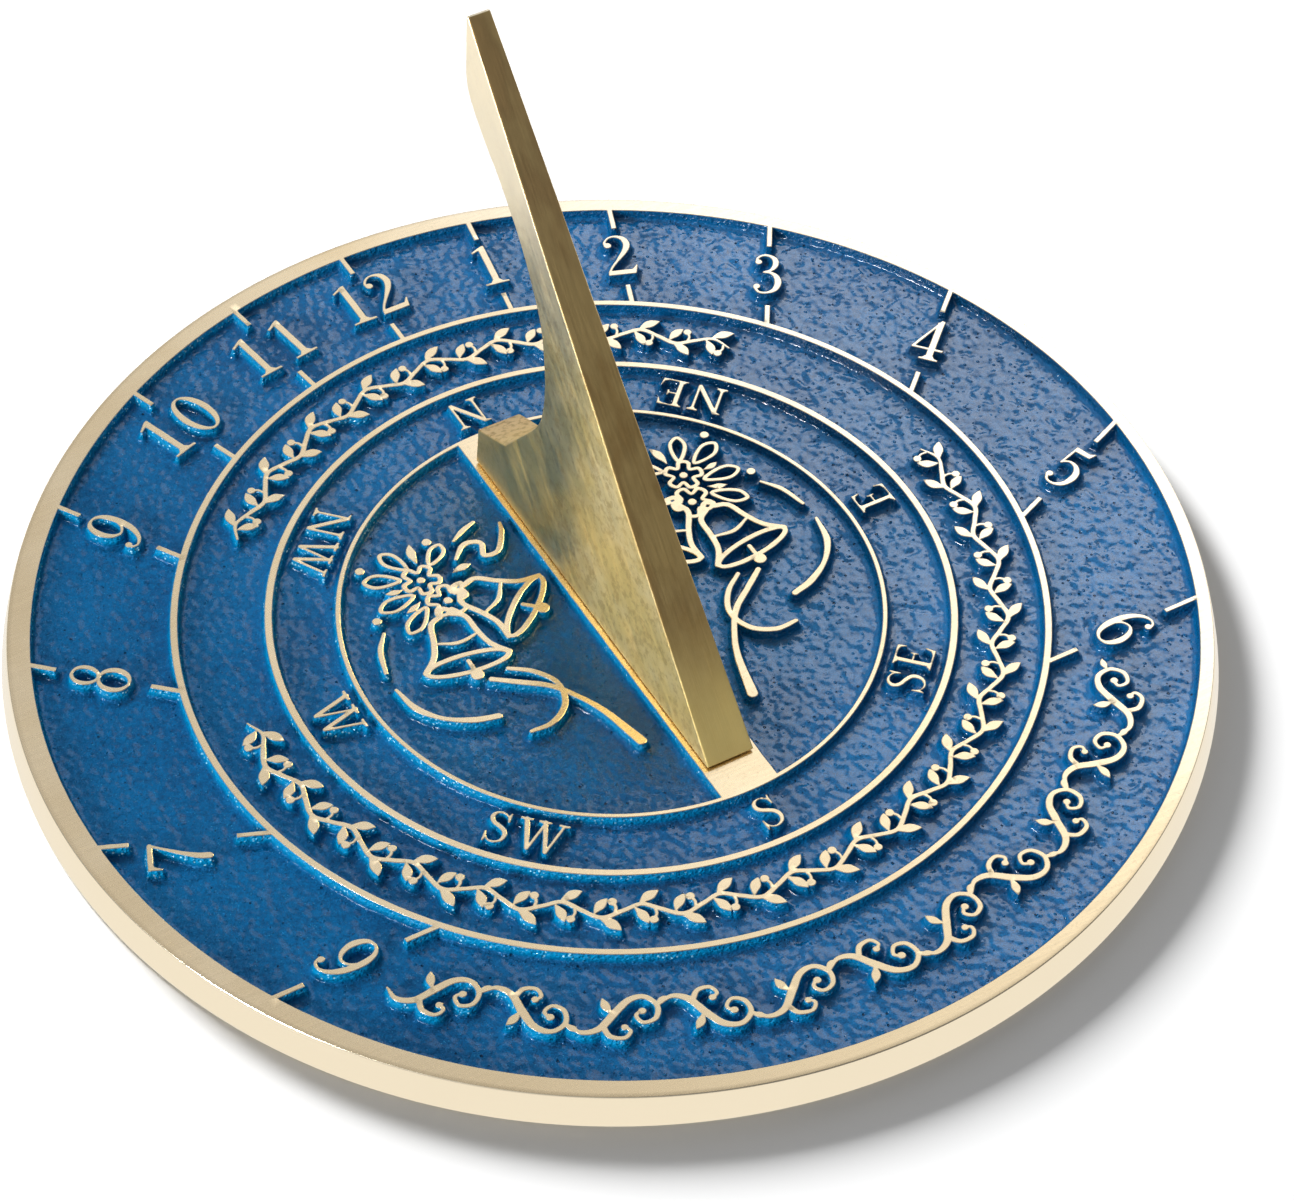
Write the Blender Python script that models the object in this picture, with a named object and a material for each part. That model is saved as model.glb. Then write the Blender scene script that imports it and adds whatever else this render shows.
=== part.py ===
"""Horizontal garden sundial: a round cast-brass dial plate with blue enamel in its recesses, and a
tapered brass gnomon held on the plate's meridian strip by two countersunk screws from below.

Frame: origin at the centre of the plate's underside, +Z up, +Y towards the noon line (north),
+X towards east. Metres, except for the values said to be in face units: 1 face unit = FACE_R.
"""

import math

import bmesh
import bpy

for ob in list(bpy.data.objects):
    bpy.data.objects.remove(ob, do_unlink=True)

# ---------------------------------------------------------------- plate and enamel, metres
FACE_R = 0.1027            # inner edge of the raised rim
PLATE_R = 0.1075           # widest radius, at the foot of the rim
PLATE_H = 0.0065           # underside to the polished tops
FLOOR_Z = 0.0040           # bare casting under the enamel
MARK_FOOT_Z = FLOOR_Z - 0.0006   # marks and strip are rooted below the floor
ENAMEL_Z0, ENAMEL_Z1 = 0.0043, 0.0046
ENAMEL_OVERCUT = 0.0005    # cutters pass the enamel by this much above and below
GAP = 0.0003               # clearance kept between neighbouring pieces
DRAFT = 0.00015            # how far the rim and ring walls lean out at their feet
ENAMEL_EDGE = GAP + DRAFT  # enamel kept back from the tops of the walls
RIM_TOP_W = 0.0034
RIM_BEVEL_W, RIM_BEVEL_H = 0.00035, 0.0005
FOOT_BEVEL_W, FOOT_BEVEL_H = 0.0008, 0.0007
SEGMENTS = 72              # of the plate and the enamel rings
HALF_DISC_STEPS = 40
DOT_SIDES = 8

# ---------------------------------------------------------------- dial layout, face units
# raised rings from the outside in: middle radius, width
RINGS = ((0.750, 0.0170), (0.589, 0.0160), (0.470, 0.0095))
RING_EDGES = [(middle + width / 2, middle - width / 2) for middle, width in RINGS]
(RING_1_OUT, RING_1_IN), (RING_2_OUT, RING_2_IN), (RING_3_OUT, RING_3_IN) = RING_EDGES
STRIP_W = 0.107            # meridian strip under the gnomon

LATITUDE = math.radians(40.5)
ROOT_Y = -0.474            # where the hour lines meet, on the meridian
NUMERAL_R, NUMERAL_H = 0.880, 0.107
NUMERAL_GAP = 0.20         # between digits, in numeral heights
SPECIAL_GAPS = {"12": 0.10, "11": 0.27}
TICK_W = 0.0095
TICK_SPANS = ((0.960, 1.006), (RING_1_OUT - 0.004, 0.800))   # at the rim, at the outer ring
COMPASS_R, COMPASS_H = 0.527, 0.064
COMPASS_GAP = 0.08         # between letters, in letter heights
WINDOW_MARGIN, WINDOW_HALF_H = 0.16, 0.58   # enamel window round a name, in letter heights
COMPASS_NAMES = ("N", "NE", "E", "SE", "S", "SW", "W", "NW")

SCROLL_R, SCROLL_SPAN = 0.876, math.radians(104)
SCROLL_UNIT, SCROLL_LINE_W, SCROLL_DOT_R = 0.150, 0.0135, 0.0085
VINE_R = 0.668
VINE_NORTH_SPAN, VINE_SOUTH_SPAN = math.radians(96), math.radians(190)
VINE_PITCH, VINE_WAVE, VINE_STEM_W = 0.0660, 0.0135, 0.0095
SCROLL_SLOT_H, VINE_SLOT_H = 0.104, 0.092
BELL_SIZE, BELL_LINE_W = 0.118, 0.011
RIBBON_W = 0.0115

# ---------------------------------------------------------------- gnomon and screws
STYLE_ANGLE = math.radians(48.44)
TOE_Y, TIP_Z = -0.408, 0.978     # face units; z above the tops
GNOMON_HALF_BASE, GNOMON_HALF_TIP = 0.00452, 0.00214
GNOMON_BEVEL = 0.00025
SCREWS = (("south", -0.0230, 25), ("north", 0.0285, -40))   # side, y, turn of slot in degrees
SCREW_R, SCREW_HEAD_R, SCREW_HEAD_H = 0.0020, 0.0038, 0.0018
SCREW_HEAD_EDGE = 0.0001   # small bevel round the head
SCREW_END_BEVEL = 0.0006
SCREW_END_Z = PLATE_H + 0.0080   # thread engaged 8 mm above the tops
SLOT_HALF_L, SLOT_HALF_W, SLOT_DEPTH = 0.005, 0.00045, 0.0009
COUNTERBORE_TOP_Z = GAP + 0.0002 # straight mouth of the hole, below the countersink
TAP_SIDE_EXTRA, TAP_POINT_EXTRA = 0.0008, 0.0020   # tapped hole beyond the screw end
OVERCUT = 0.001            # hole and slot cutters pass the surface by this much
HOLE_SIDES, SCREW_SIDES = 24, 20

# ---------------------------------------------------------------- finishes
BRASS = dict(colour=(0.78, 0.62, 0.36), metallic=1.0, roughness=0.28)
DARK_BRASS = dict(colour=(0.52, 0.40, 0.20), metallic=1.0, roughness=0.34)
SCREW_BRASS = dict(colour=(0.66, 0.50, 0.26), metallic=1.0, roughness=0.3)
BLUE_ENAMEL = dict(colour=(0.012, 0.115, 0.42), metallic=0.0, roughness=0.25)
SHARP_ANGLE = math.radians(35)


# ---------------------------------------------------------------- flat marks
# A drawing is a list of marks (kind, rows):
#   "open", "closed"   stroke along a centre line, rows of x, y, width
#   "dot"              one row of x, y, radius
#   "area"             filled outline, rows of x, y
def mapped(marks, move, scale=1.0):
    """Marks with each point passed through move and each width or radius scaled."""
    return [
        (kind, [move(x, y) + tuple(size * scale for size in sizes) for x, y, *sizes in rows])
        for kind, rows in marks
    ]


def place(marks, to_x, to_y, turn=0.0, scale=1.0, mirror=1.0):
    """Marks scaled, turned and moved to (to_x, to_y). mirror = -1 flips them in x first."""
    cos_turn, sin_turn = math.cos(turn), math.sin(turn)

    def move(x, y):
        x, y = x * scale * mirror, y * scale
        return (to_x + x * cos_turn - y * sin_turn, to_y + x * sin_turn + y * cos_turn)

    return mapped(marks, move, scale)


def bend(marks, radius, middle, inward):
    """Wraps a strip drawn along +x round a circle, about the compass angle middle."""
    sign = -1 if inward else 1

    def move(x, y):
        distance, angle = radius + sign * y, middle + sign * x / radius
        return (distance * math.sin(angle), distance * math.cos(angle))

    return mapped(marks, move)


def smooth(rows, steps):
    """Open Catmull-Rom curve through rows of x, y, width."""
    before = tuple(2 * a - b for a, b in zip(rows[0], rows[1]))
    after = tuple(2 * b - a for a, b in zip(rows[-2], rows[-1]))
    knots = [before, *rows, after]
    out = []
    for i in range(len(rows) - 1):
        for k in range(steps):
            t = k / steps
            out.append(tuple(
                0.5 * (2 * b + (c - a) * t + (2 * a - 5 * b + 4 * c - d) * t * t
                       + (3 * b - a - 3 * c + d) * t ** 3)
                for a, b, c, d in zip(*knots[i:i + 4])
            ))
    out.append(rows[-1])
    return out


def oval(centre_x, centre_y, radius_x, radius_y, thick, thin, count):
    """Closed oval stroke, thick at its sides and thin at top and bottom."""
    rows = []
    for k in range(count):
        angle = 2 * math.pi * k / count
        width = thin + (thick - thin) * abs(math.cos(angle)) ** 1.6
        rows.append((centre_x + radius_x * math.cos(angle),
                     centre_y + radius_y * math.sin(angle), width))
    return ("closed", rows)


def upright(x, y0, y1, width):
    half = width / 2
    return ("area", [(x - half, y0), (x + half, y0), (x + half, y1), (x - half, y1)])


def serif(x, y, up, half, width):
    """Flat foot (up = 1) or head (up = -1) of an upright of the given width."""
    neck_y = y + up * (0.055 + width / 4)
    return ("area", [(x - half, y), (x + half, y), (x + width / 2, neck_y), (x - width / 2, neck_y)])


# ---------------------------------------------------------------- numerals and capitals
STEM, HAIRLINE = 0.122, 0.052
SIX = [
    (0.45, 0.85, 0.10), (0.44, 0.94, 0.06), (0.345, 0.975, 0.05), (0.22, 0.905, 0.075),
    (0.12, 0.74, 0.105), (0.075, 0.52, 0.122), (0.085, 0.27, 0.115), (0.16, 0.09, 0.075),
    (0.29, 0.028, 0.05), (0.415, 0.10, 0.09), (0.47, 0.30, 0.118), (0.42, 0.50, 0.09),
    (0.30, 0.60, 0.05), (0.17, 0.545, 0.05), (0.11, 0.44, 0.05),
]
# character: (marks, advance width), serif face of height 1 standing on y = 0
GLYPHS = {
    "0": ([oval(0.285, 0.5, 0.232, 0.465, STEM, HAIRLINE, 14)], 0.60),
    "1": ([
        upright(0.235, 0.0, 0.97, STEM),
        serif(0.235, 0.0, 1, 0.215, STEM),
        ("area", [(0.045, 0.845), (0.174, 0.90), (0.296, 0.97), (0.296, 1.005), (0.235, 1.0),
                  (0.03, 0.885)]),
    ], 0.47),
    "2": ([
        ("open", [(0.085, 0.765, 0.10), (0.075, 0.86, 0.06), (0.16, 0.955, 0.05),
                  (0.28, 0.975, 0.055), (0.40, 0.91, 0.10), (0.445, 0.765, 0.125),
                  (0.40, 0.61, 0.11), (0.27, 0.42, 0.07), (0.05, 0.085, 0.05)]),
        ("area", [(0.02, 0.0), (0.50, 0.0), (0.56, 0.215), (0.53, 0.22), (0.455, 0.118),
                  (0.09, 0.118), (0.02, 0.06)]),
    ], 0.60),
    "3": ([
        ("open", [(0.10, 0.79, 0.10), (0.10, 0.90, 0.06), (0.20, 0.972, 0.05), (0.32, 0.955, 0.07),
                  (0.405, 0.86, 0.105), (0.405, 0.72, 0.105), (0.33, 0.60, 0.065),
                  (0.21, 0.545, 0.045)]),
        ("open", [(0.21, 0.545, 0.045), (0.34, 0.53, 0.065), (0.44, 0.42, 0.11),
                  (0.46, 0.265, 0.122), (0.40, 0.11, 0.095), (0.27, 0.028, 0.055),
                  (0.13, 0.045, 0.06), (0.08, 0.18, 0.10)]),
    ], 0.58),
    "4": ([
        upright(0.375, 0.0, 1.0, STEM),
        serif(0.375, 0.0, 1, 0.17, STEM),
        ("open", [(0.05, 0.275, 0.055), (0.355, 0.93, 0.055)]),
        ("area", [(0.015, 0.245), (0.575, 0.245), (0.575, 0.305), (0.045, 0.305)]),
    ], 0.62),
    "5": ([
        ("area", [(0.115, 0.865), (0.43, 0.865), (0.485, 1.015), (0.38, 0.965), (0.115, 0.985)]),
        ("open", [(0.14, 0.95, 0.05), (0.098, 0.53, 0.05)]),
        ("open", [(0.10, 0.545, 0.045), (0.21, 0.615, 0.05), (0.34, 0.585, 0.085),
                  (0.435, 0.46, 0.118), (0.45, 0.29, 0.125), (0.39, 0.115, 0.095),
                  (0.26, 0.028, 0.055), (0.125, 0.045, 0.06), (0.085, 0.17, 0.10)]),
    ], 0.57),
    "6": ([("open", SIX)], 0.58),
    "7": ([
        ("area", [(0.02, 0.91), (0.54, 0.91), (0.54, 0.995), (0.02, 0.995)]),
        ("area", [(0.02, 0.77), (0.05, 0.77), (0.11, 0.93), (0.02, 0.93)]),
        ("open", smooth([(0.50, 0.95, 0.05), (0.32, 0.46, 0.08), (0.235, 0.0, 0.125)], 2)),
    ], 0.54),
    "8": ([
        oval(0.27, 0.755, 0.165, 0.215, 0.085, HAIRLINE, 10),
        oval(0.27, 0.275, 0.205, 0.25, 0.105, HAIRLINE, 10),
    ], 0.56),
    "9": ([("open", [(0.56 - x, 1.0 - y, width) for x, y, width in SIX])], 0.58),
    "N": ([
        upright(0.17, 0.0, 0.97, 0.055),
        upright(0.80, 0.03, 1.0, 0.055),
        ("area", [(0.735, 0.0), (0.828, 0.0), (0.828, 0.10), (0.21, 1.0), (0.02, 1.0),
                  (0.135, 0.90)]),
        serif(0.17, 0.0, 1, 0.14, 0.055),
        serif(0.80, 1.0, -1, 0.14, 0.055),
    ], 0.98),
    "E": ([
        upright(0.20, 0.0, 1.0, 0.13),
        serif(0.18, 0.0, 1, 0.165, 0.13),
        serif(0.18, 1.0, -1, 0.165, 0.13),
        ("area", [(0.20, 0.945), (0.52, 0.945), (0.70, 0.76), (0.68, 1.0), (0.20, 1.0)]),
        ("area", [(0.20, 0.0), (0.715, 0.0), (0.75, 0.27), (0.54, 0.055), (0.20, 0.055)]),
        ("area", [(0.20, 0.487), (0.51, 0.43), (0.51, 0.60), (0.20, 0.54)]),
    ], 0.80),
    "S": ([
        ("open", [(0.545, 0.74, 0.09), (0.49, 0.90, 0.06), (0.31, 0.97, 0.06), (0.135, 0.87, 0.10),
                  (0.16, 0.67, 0.12), (0.37, 0.54, 0.125), (0.53, 0.40, 0.125), (0.53, 0.16, 0.11),
                  (0.36, 0.035, 0.06), (0.16, 0.08, 0.06), (0.07, 0.29, 0.09)]),
    ], 0.70),
    "W": ([
        ("area", [(0.305, 0.0), (0.42, 0.0), (0.195, 0.965), (0.065, 0.965)]),
        ("area", [(0.34, 0.0), (0.40, 0.0), (0.645, 0.965), (0.585, 0.965)]),
        ("area", [(0.775, 0.0), (0.89, 0.0), (0.665, 0.965), (0.535, 0.965)]),
        ("area", [(0.81, 0.0), (0.87, 0.0), (1.12, 0.965), (1.06, 0.965)]),
        ("area", [(-0.02, 0.945), (0.75, 0.945), (0.75, 1.0), (-0.02, 1.0)]),
        ("area", [(0.96, 0.945), (1.22, 0.945), (1.22, 1.0), (0.96, 1.0)]),
    ], 1.22),
}


def word(text, gap):
    """Glyphs side by side, centred on (0, 0)."""
    marks, x = [], 0.0
    for character in text:
        glyph, advance = GLYPHS[character]
        marks += place(glyph, x, 0)
        x += advance + gap
    return place(marks, -(x - gap) / 2, -0.5)


# ---------------------------------------------------------------- ornaments, face units
# x, y, share of the line width; x is stretched with the scroll's unit
SCROLL_CURVE = [
    (-0.086, -0.020, 0.5), (-0.064, -0.034, 0.75), (-0.036, -0.026, 1.0), (-0.012, 0.004, 1.12),
    (0.012, 0.030, 1.0), (0.040, 0.036, 0.8), (0.060, 0.018, 0.72), (0.056, -0.006, 0.7),
    (0.034, -0.010, 0.62),
]
SCROLL_TENDRIL = [
    (-0.034, -0.018, 0.8), (-0.018, -0.040, 0.75), (0.004, -0.043, 0.65), (0.012, -0.028, 0.6),
]
LEAF = [(0.0, 0.03), (0.45, -0.46), (1.0, 0.0), (0.55, 0.54)]   # stalk end first
BELL_SIDE = [(0.02, 0.02), (0.26, -0.14), (0.33, -0.46), (0.43, -0.76), (0.62, -1.0)]
POSY_FLOWERS = [(-0.262, 0.207, 0.0300), (-0.243, 0.143, 0.0320)]   # x, y, radius
# x, y of the stalk end, angle, length, width
POSY_LEAVES = [
    (-0.275, 0.225, 1.75, 0.060, 0.019), (-0.242, 0.222, 0.95, 0.056, 0.019),
    (-0.282, 0.205, 2.55, 0.066, 0.020), (-0.284, 0.178, 3.20, 0.068, 0.020),
    (-0.268, 0.150, 3.85, 0.066, 0.019), (-0.225, 0.198, 0.20, 0.050, 0.019),
]
POSY_BELLS = [(-0.262, 0.118, -0.15), (-0.212, 0.158, 0.72)]   # x, y of the crown, angle
# x, y, share of the ribbon width
POSY_RIBBONS = [
    [(-0.186, 0.222, 0.8), (-0.158, 0.246, 1.0), (-0.130, 0.236, 1.0), (-0.138, 0.207, 1.0),
     (-0.112, 0.205, 1.0), (-0.078, 0.262, 0.7)],
    [(-0.374, 0.128, 0.7), (-0.398, 0.094, 0.9), (-0.412, 0.046, 0.8)],
    [(-0.414, 0.004, 0.8), (-0.404, -0.048, 1.2), (-0.374, -0.090, 1.0), (-0.330, -0.118, 1.25),
     (-0.290, -0.130, 1.2)],
    [(-0.262, -0.052, 1.0), (-0.183, -0.112, 1.1), (-0.156, -0.150, 1.0), (-0.130, -0.205, 1.2),
     (-0.108, -0.292, 1.8)],
    [(-0.226, -0.044, 0.8), (-0.190, -0.072, 1.0), (-0.168, -0.114, 1.0), (-0.180, -0.160, 1.05),
     (-0.218, -0.186, 1.05), (-0.258, -0.186, 0.8)],
]
# enamel cut-out round the east posy, a little outside its leaves, bells and ribbons: x, y
POSY_WINDOW = [
    (0.070, 0.285), (0.115, 0.300), (0.200, 0.290), (0.300, 0.305), (0.365, 0.240),
    (0.425, 0.120), (0.435, 0.000), (0.425, -0.060), (0.380, -0.110), (0.290, -0.205),
    (0.150, -0.310), (0.090, -0.310), (0.085, -0.200), (0.075, 0.050),
]


def leaf(x, y, angle, length, width):
    """Pointed leaf with its stalk end at (x, y)."""
    return place([("area", [(u * length, v * width) for u, v in LEAF])], x, y, angle)


def vine(length):
    """Olive spray along x: a waving stem with a pair of leaves at each crest and trough."""
    count = max(2, int(round(length / VINE_PITCH)))
    pitch = length / count
    start = -length / 2
    marks = [("open", [(start + (i + 0.5) * pitch, VINE_WAVE * (-1) ** i, VINE_STEM_W)
                       for i in range(-1, count + 1)])]
    for i in range(count):
        side = 1 if i % 2 == 0 else -1
        x = start + (i + 0.5) * pitch
        marks += leaf(x - 0.004, side * (VINE_WAVE - 0.003), side * 0.62, 0.042, 0.0190)
        marks += leaf(x - 0.012, side * (VINE_WAVE - 0.0065), -side * 1.02, 0.038, 0.0180)
    return marks


def scrollwork(length):
    """Flowing scrolls along x: S curves with curled tips, every other one upside down."""
    count = max(1, int(round(length / SCROLL_UNIT)))
    unit = length / count
    stretch = unit / SCROLL_UNIT
    marks = []
    for i in range(count):
        side = 1 if i % 2 == 0 else -1
        middle = -length / 2 + (i + 0.5) * unit

        def curve(rows):
            return ("open", [(middle + x * stretch, side * y, SCROLL_LINE_W * share)
                             for x, y, share in rows])

        curl = ("dot", [(middle + 0.034 * stretch, -side * 0.006, SCROLL_DOT_R)])
        marks += [curve(SCROLL_CURVE), curl, curve(SCROLL_TENDRIL)]
    return marks


def bell(x, y, angle):
    """Hand bell in outline: crown at (x, y), mouth towards -y before it is turned."""
    width = BELL_LINE_W / BELL_SIZE
    marks = [("open", [(side * u, v, width) for u, v in BELL_SIDE]) for side in (-1, 1)]
    marks.append(oval(0.0, -1.02, 0.60, 0.19, width * 0.9, width * 0.9, 10))
    return place(marks, x, y, angle, BELL_SIZE)


def posy():
    """Ornament of the west half disc: flowers and leaves over two bells, trailing ribbons."""
    marks = [("dot", [row]) for row in POSY_FLOWERS]
    for row in POSY_LEAVES:
        marks += leaf(*row)
    for row in POSY_BELLS:
        marks += bell(*row)
    for rows in POSY_RIBBONS:
        marks.append(("open", [(x, y, RIBBON_W * share) for x, y, share in rows]))
    return marks


# ---------------------------------------------------------------- hour and compass marks
def hour_angle(hour):
    """Angle at the root from noon to an hour line, for the dial's latitude."""
    sun = math.radians(15 * hour)
    return math.atan2(math.sin(LATITUDE) * math.sin(sun), math.cos(sun))


def on_line(angle, radius):
    """Where the hour line at that angle crosses a circle about the dial's centre."""
    east, north = math.sin(angle), math.cos(angle)
    reach = -ROOT_Y * north + math.sqrt((ROOT_Y * north) ** 2 - (ROOT_Y ** 2 - radius * radius))
    return reach * east, ROOT_Y + reach * north


def hour_marks():
    """Numerals from 6 to 6, each with a tick at the rim and one at the outer ring."""
    marks = []
    for hour in range(-6, 7):
        angle = hour_angle(hour)
        text = str((12 + hour - 1) % 12 + 1)
        numeral = word(text, SPECIAL_GAPS.get(text, NUMERAL_GAP))
        marks += place(numeral, *on_line(angle, NUMERAL_R), -angle, NUMERAL_H)
        for ends in TICK_SPANS:
            marks.append(("open", [on_line(angle, radius) + (TICK_W,) for radius in ends]))
    return marks


def compass_name(text):
    return word(text, COMPASS_GAP)


def compass_window(text):
    """Plain rectangle round a compass name."""
    half = sum(GLYPHS[character][1] for character in text) / 2 + WINDOW_MARGIN
    return [("area", [(-half, -WINDOW_HALF_H), (half, -WINDOW_HALF_H),
                      (half, WINDOW_HALF_H), (-half, WINDOW_HALF_H)])]


def compass_marks(draw):
    """What draw makes of the eight names, set round the dial with tops towards the centre."""
    marks = []
    for i, text in enumerate(COMPASS_NAMES):
        angle = math.radians(45 * i)
        marks += place(draw(text), COMPASS_R * math.sin(angle), COMPASS_R * math.cos(angle),
                       math.pi - angle, COMPASS_H)
    return marks


def slot(radius, height, start_deg, end_deg, steps):
    """Curved slot round an ornamented arc, as one wide stroke."""
    start, end = math.radians(start_deg), math.radians(end_deg)
    angles = [start + (end - start) * k / steps for k in range(steps + 1)]
    return [("open", [(radius * math.sin(a), radius * math.cos(a), height) for a in angles])]


# ---------------------------------------------------------------- solids
def shade(mesh):
    mesh.shade_smooth()
    mesh.set_sharp_from_angle(angle=SHARP_ANGLE)


def make_material(name, colour, metallic, roughness):
    material = bpy.data.materials.new(name)
    material.use_nodes = True
    inputs = material.node_tree.nodes["Principled BSDF"].inputs
    inputs["Base Color"].default_value = (*colour, 1.0)
    inputs["Metallic"].default_value = metallic
    inputs["Roughness"].default_value = roughness
    return material


def add(name, body, finish=None):
    """Object from a bmesh. Without a finish it is left flat and bare."""
    bmesh.ops.recalc_face_normals(body, faces=body.faces)
    mesh = bpy.data.meshes.new(name)
    body.to_mesh(mesh)
    body.free()
    ob = bpy.data.objects.new(name, mesh)
    bpy.context.scene.collection.objects.link(ob)
    if finish:
        mesh.materials.append(make_material(name + "_mat", **finish))
        shade(mesh)
    return ob


def helper(name, body):
    """A cutter or a stamp, left out of the model."""
    ob = add(name, body)
    ob.hide_render = True
    ob.display_type = "WIRE"
    return ob


def lathe(profile, segments, y=0.0):
    """Solid turned about the upright axis at y. profile: (radius, z) points.

    A profile that starts on the axis also ends there; any other is closed to its first point.
    """
    body = bmesh.new()
    verts = [body.verts.new((radius, 0.0, z)) for radius, z in profile]
    for a, b in zip(verts, verts[1:]):
        body.edges.new((a, b))
    if profile[0][0] > 0:
        body.edges.new((verts[-1], verts[0]))
    bmesh.ops.spin(body, geom=body.verts[:] + body.edges[:], cent=(0, 0, 0), axis=(0, 0, 1),
                   angle=2 * math.pi, steps=segments, use_merge=True)
    bmesh.ops.remove_doubles(body, verts=body.verts, dist=1e-7)
    bmesh.ops.translate(body, vec=(0, y, 0), verts=body.verts)
    return body


def anticlockwise(points):
    area = sum(a[0] * b[1] - b[0] * a[1] for a, b in zip(points, points[1:] + points[:1]))
    return points[::-1] if area < 0 else points


def offset(points, grow):
    """Outline grown outwards, mitred."""
    points = anticlockwise(points)
    if not grow:
        return points
    out = []
    for i, (x, y) in enumerate(points):
        last_x, last_y = points[i - 1]
        next_x, next_y = points[(i + 1) % len(points)]
        length_in = math.hypot(x - last_x, y - last_y)
        length_out = math.hypot(next_x - x, next_y - y)
        normal_in = ((y - last_y) / length_in, -(x - last_x) / length_in)
        normal_out = ((next_y - y) / length_out, -(next_x - x) / length_out)
        mitre = 1.0 + normal_in[0] * normal_out[0] + normal_in[1] * normal_out[1]
        mitre = max(mitre, 0.35)   # keeps sharp corners from shooting out
        out.append((x + (normal_in[0] + normal_out[0]) * grow / mitre,
                    y + (normal_in[1] + normal_out[1]) * grow / mitre))
    return out


def skin(body, low, top):
    """Closes two matching outlines into a solid."""
    body.faces.new(low[::-1])
    body.faces.new(top)
    for i in range(len(low)):
        j = (i + 1) % len(low)
        body.faces.new((low[i], low[j], top[j], top[i]))


def prism(body, points, z0, z1):
    low = [body.verts.new((x, y, z0)) for x, y in points]
    top = [body.verts.new((x, y, z1)) for x, y in points]
    skin(body, low, top)


def ribbon(body, rows, closed, z0, z1, grow):
    """Upright ribbon of varying width along a centre line."""
    count = len(rows)
    sections = []
    for i, (x, y, width) in enumerate(rows):
        before = rows[(i - 1) % count] if closed or i else rows[0]
        after = rows[(i + 1) % count] if closed or i + 1 < count else rows[-1]
        along_x, along_y = after[0] - before[0], after[1] - before[1]
        length = math.hypot(along_x, along_y)
        along_x, along_y = along_x / length, along_y / length
        if not closed and i == 0:
            x, y = x - along_x * grow, y - along_y * grow
        if not closed and i == count - 1:
            x, y = x + along_x * grow, y + along_y * grow
        half = width / 2 + grow
        sections.append([body.verts.new((x - side * along_y * half, y + side * along_x * half, z))
                         for side in (1, -1) for z in (z0, z1)])
    for i in range(count if closed else count - 1):
        left_low, left_top, right_low, right_top = sections[i]
        next_left_low, next_left_top, next_right_low, next_right_top = sections[(i + 1) % count]
        body.faces.new((left_top, right_top, next_right_top, next_left_top))
        body.faces.new((left_low, next_left_low, next_right_low, right_low))
        body.faces.new((left_low, left_top, next_left_top, next_left_low))
        body.faces.new((right_low, next_right_low, next_right_top, right_top))
    if not closed:
        left_low, left_top, right_low, right_top = sections[0]
        body.faces.new((left_low, right_low, right_top, left_top))
        left_low, left_top, right_low, right_top = sections[-1]
        body.faces.new((left_low, left_top, right_top, right_low))


def solid_marks(marks, z0, z1, grow=0.0):
    """Marks in face units raised into solids, grown sideways by grow metres."""
    body = bmesh.new()
    for kind, rows in marks:
        rows = [tuple(value * FACE_R for value in row) for row in rows]
        if kind == "area":
            prism(body, offset(rows, grow), z0, z1)
        elif kind == "dot":
            x, y, radius = rows[0]
            radius += grow
            angles = [2 * math.pi * k / DOT_SIDES for k in range(DOT_SIDES)]
            prism(body, [(x + radius * math.cos(a), y + radius * math.sin(a)) for a in angles],
                  z0, z1)
        else:
            ribbon(body, rows, kind == "closed", z0, z1, grow)
    return body


def boolean(ob, other, operation, self_cross=False):
    modifier = ob.modifiers.new(operation.lower() + "_" + other.name, "BOOLEAN")
    modifier.operation = operation
    modifier.solver = "EXACT"
    modifier.use_self = self_cross
    modifier.object = other


def connected_groups(body):
    seen, groups = set(), []
    for first in body.verts:
        if first in seen:
            continue
        stack, group = [first], []
        seen.add(first)
        while stack:
            vert = stack.pop()
            group.append(vert)
            for edge in vert.link_edges:
                other = edge.other_vert(vert)
                if other not in seen:
                    seen.add(other)
                    stack.append(other)
        groups.append(group)
    return groups


def settle(ob):
    """Applies the modifiers and keeps only the connected body with the most vertices.

    This drops the enamel islands inside closed numerals.
    """
    depsgraph = bpy.context.evaluated_depsgraph_get()
    mesh = bpy.data.meshes.new_from_object(ob.evaluated_get(depsgraph))
    body = bmesh.new()
    body.from_mesh(mesh)
    bmesh.ops.dissolve_degenerate(body, dist=1e-6, edges=body.edges)
    bmesh.ops.dissolve_limit(body, angle_limit=math.radians(0.05), verts=body.verts,
                             edges=body.edges)
    for group in sorted(connected_groups(body), key=len, reverse=True)[1:]:
        bmesh.ops.delete(body, geom=group, context="VERTS")
    body.to_mesh(mesh)
    body.free()
    for material in ob.data.materials:
        if material.name not in [kept.name for kept in mesh.materials if kept]:
            mesh.materials.append(material)
    ob.modifiers.clear()
    ob.data = mesh
    shade(mesh)


# ---------------------------------------------------------------- dial plate
def plate_profile():
    """Half section of the turned blank, with rim and rings: radius, z."""
    profile = [
        (0.0, 0.0),
        (PLATE_R - FOOT_BEVEL_W, 0.0),
        (PLATE_R, FOOT_BEVEL_H),
        (FACE_R + RIM_TOP_W + RIM_BEVEL_W, PLATE_H - RIM_BEVEL_H),
        (FACE_R + RIM_TOP_W, PLATE_H),
        (FACE_R, PLATE_H),
        (FACE_R - DRAFT, FLOOR_Z),
    ]
    for ring_out, ring_in in RING_EDGES:
        outer, inner = ring_out * FACE_R, ring_in * FACE_R
        profile += [(outer + DRAFT, FLOOR_Z), (outer, PLATE_H),
                    (inner, PLATE_H), (inner - DRAFT, FLOOR_Z)]
    profile.append((0.0, FLOOR_Z))
    return profile


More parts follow.
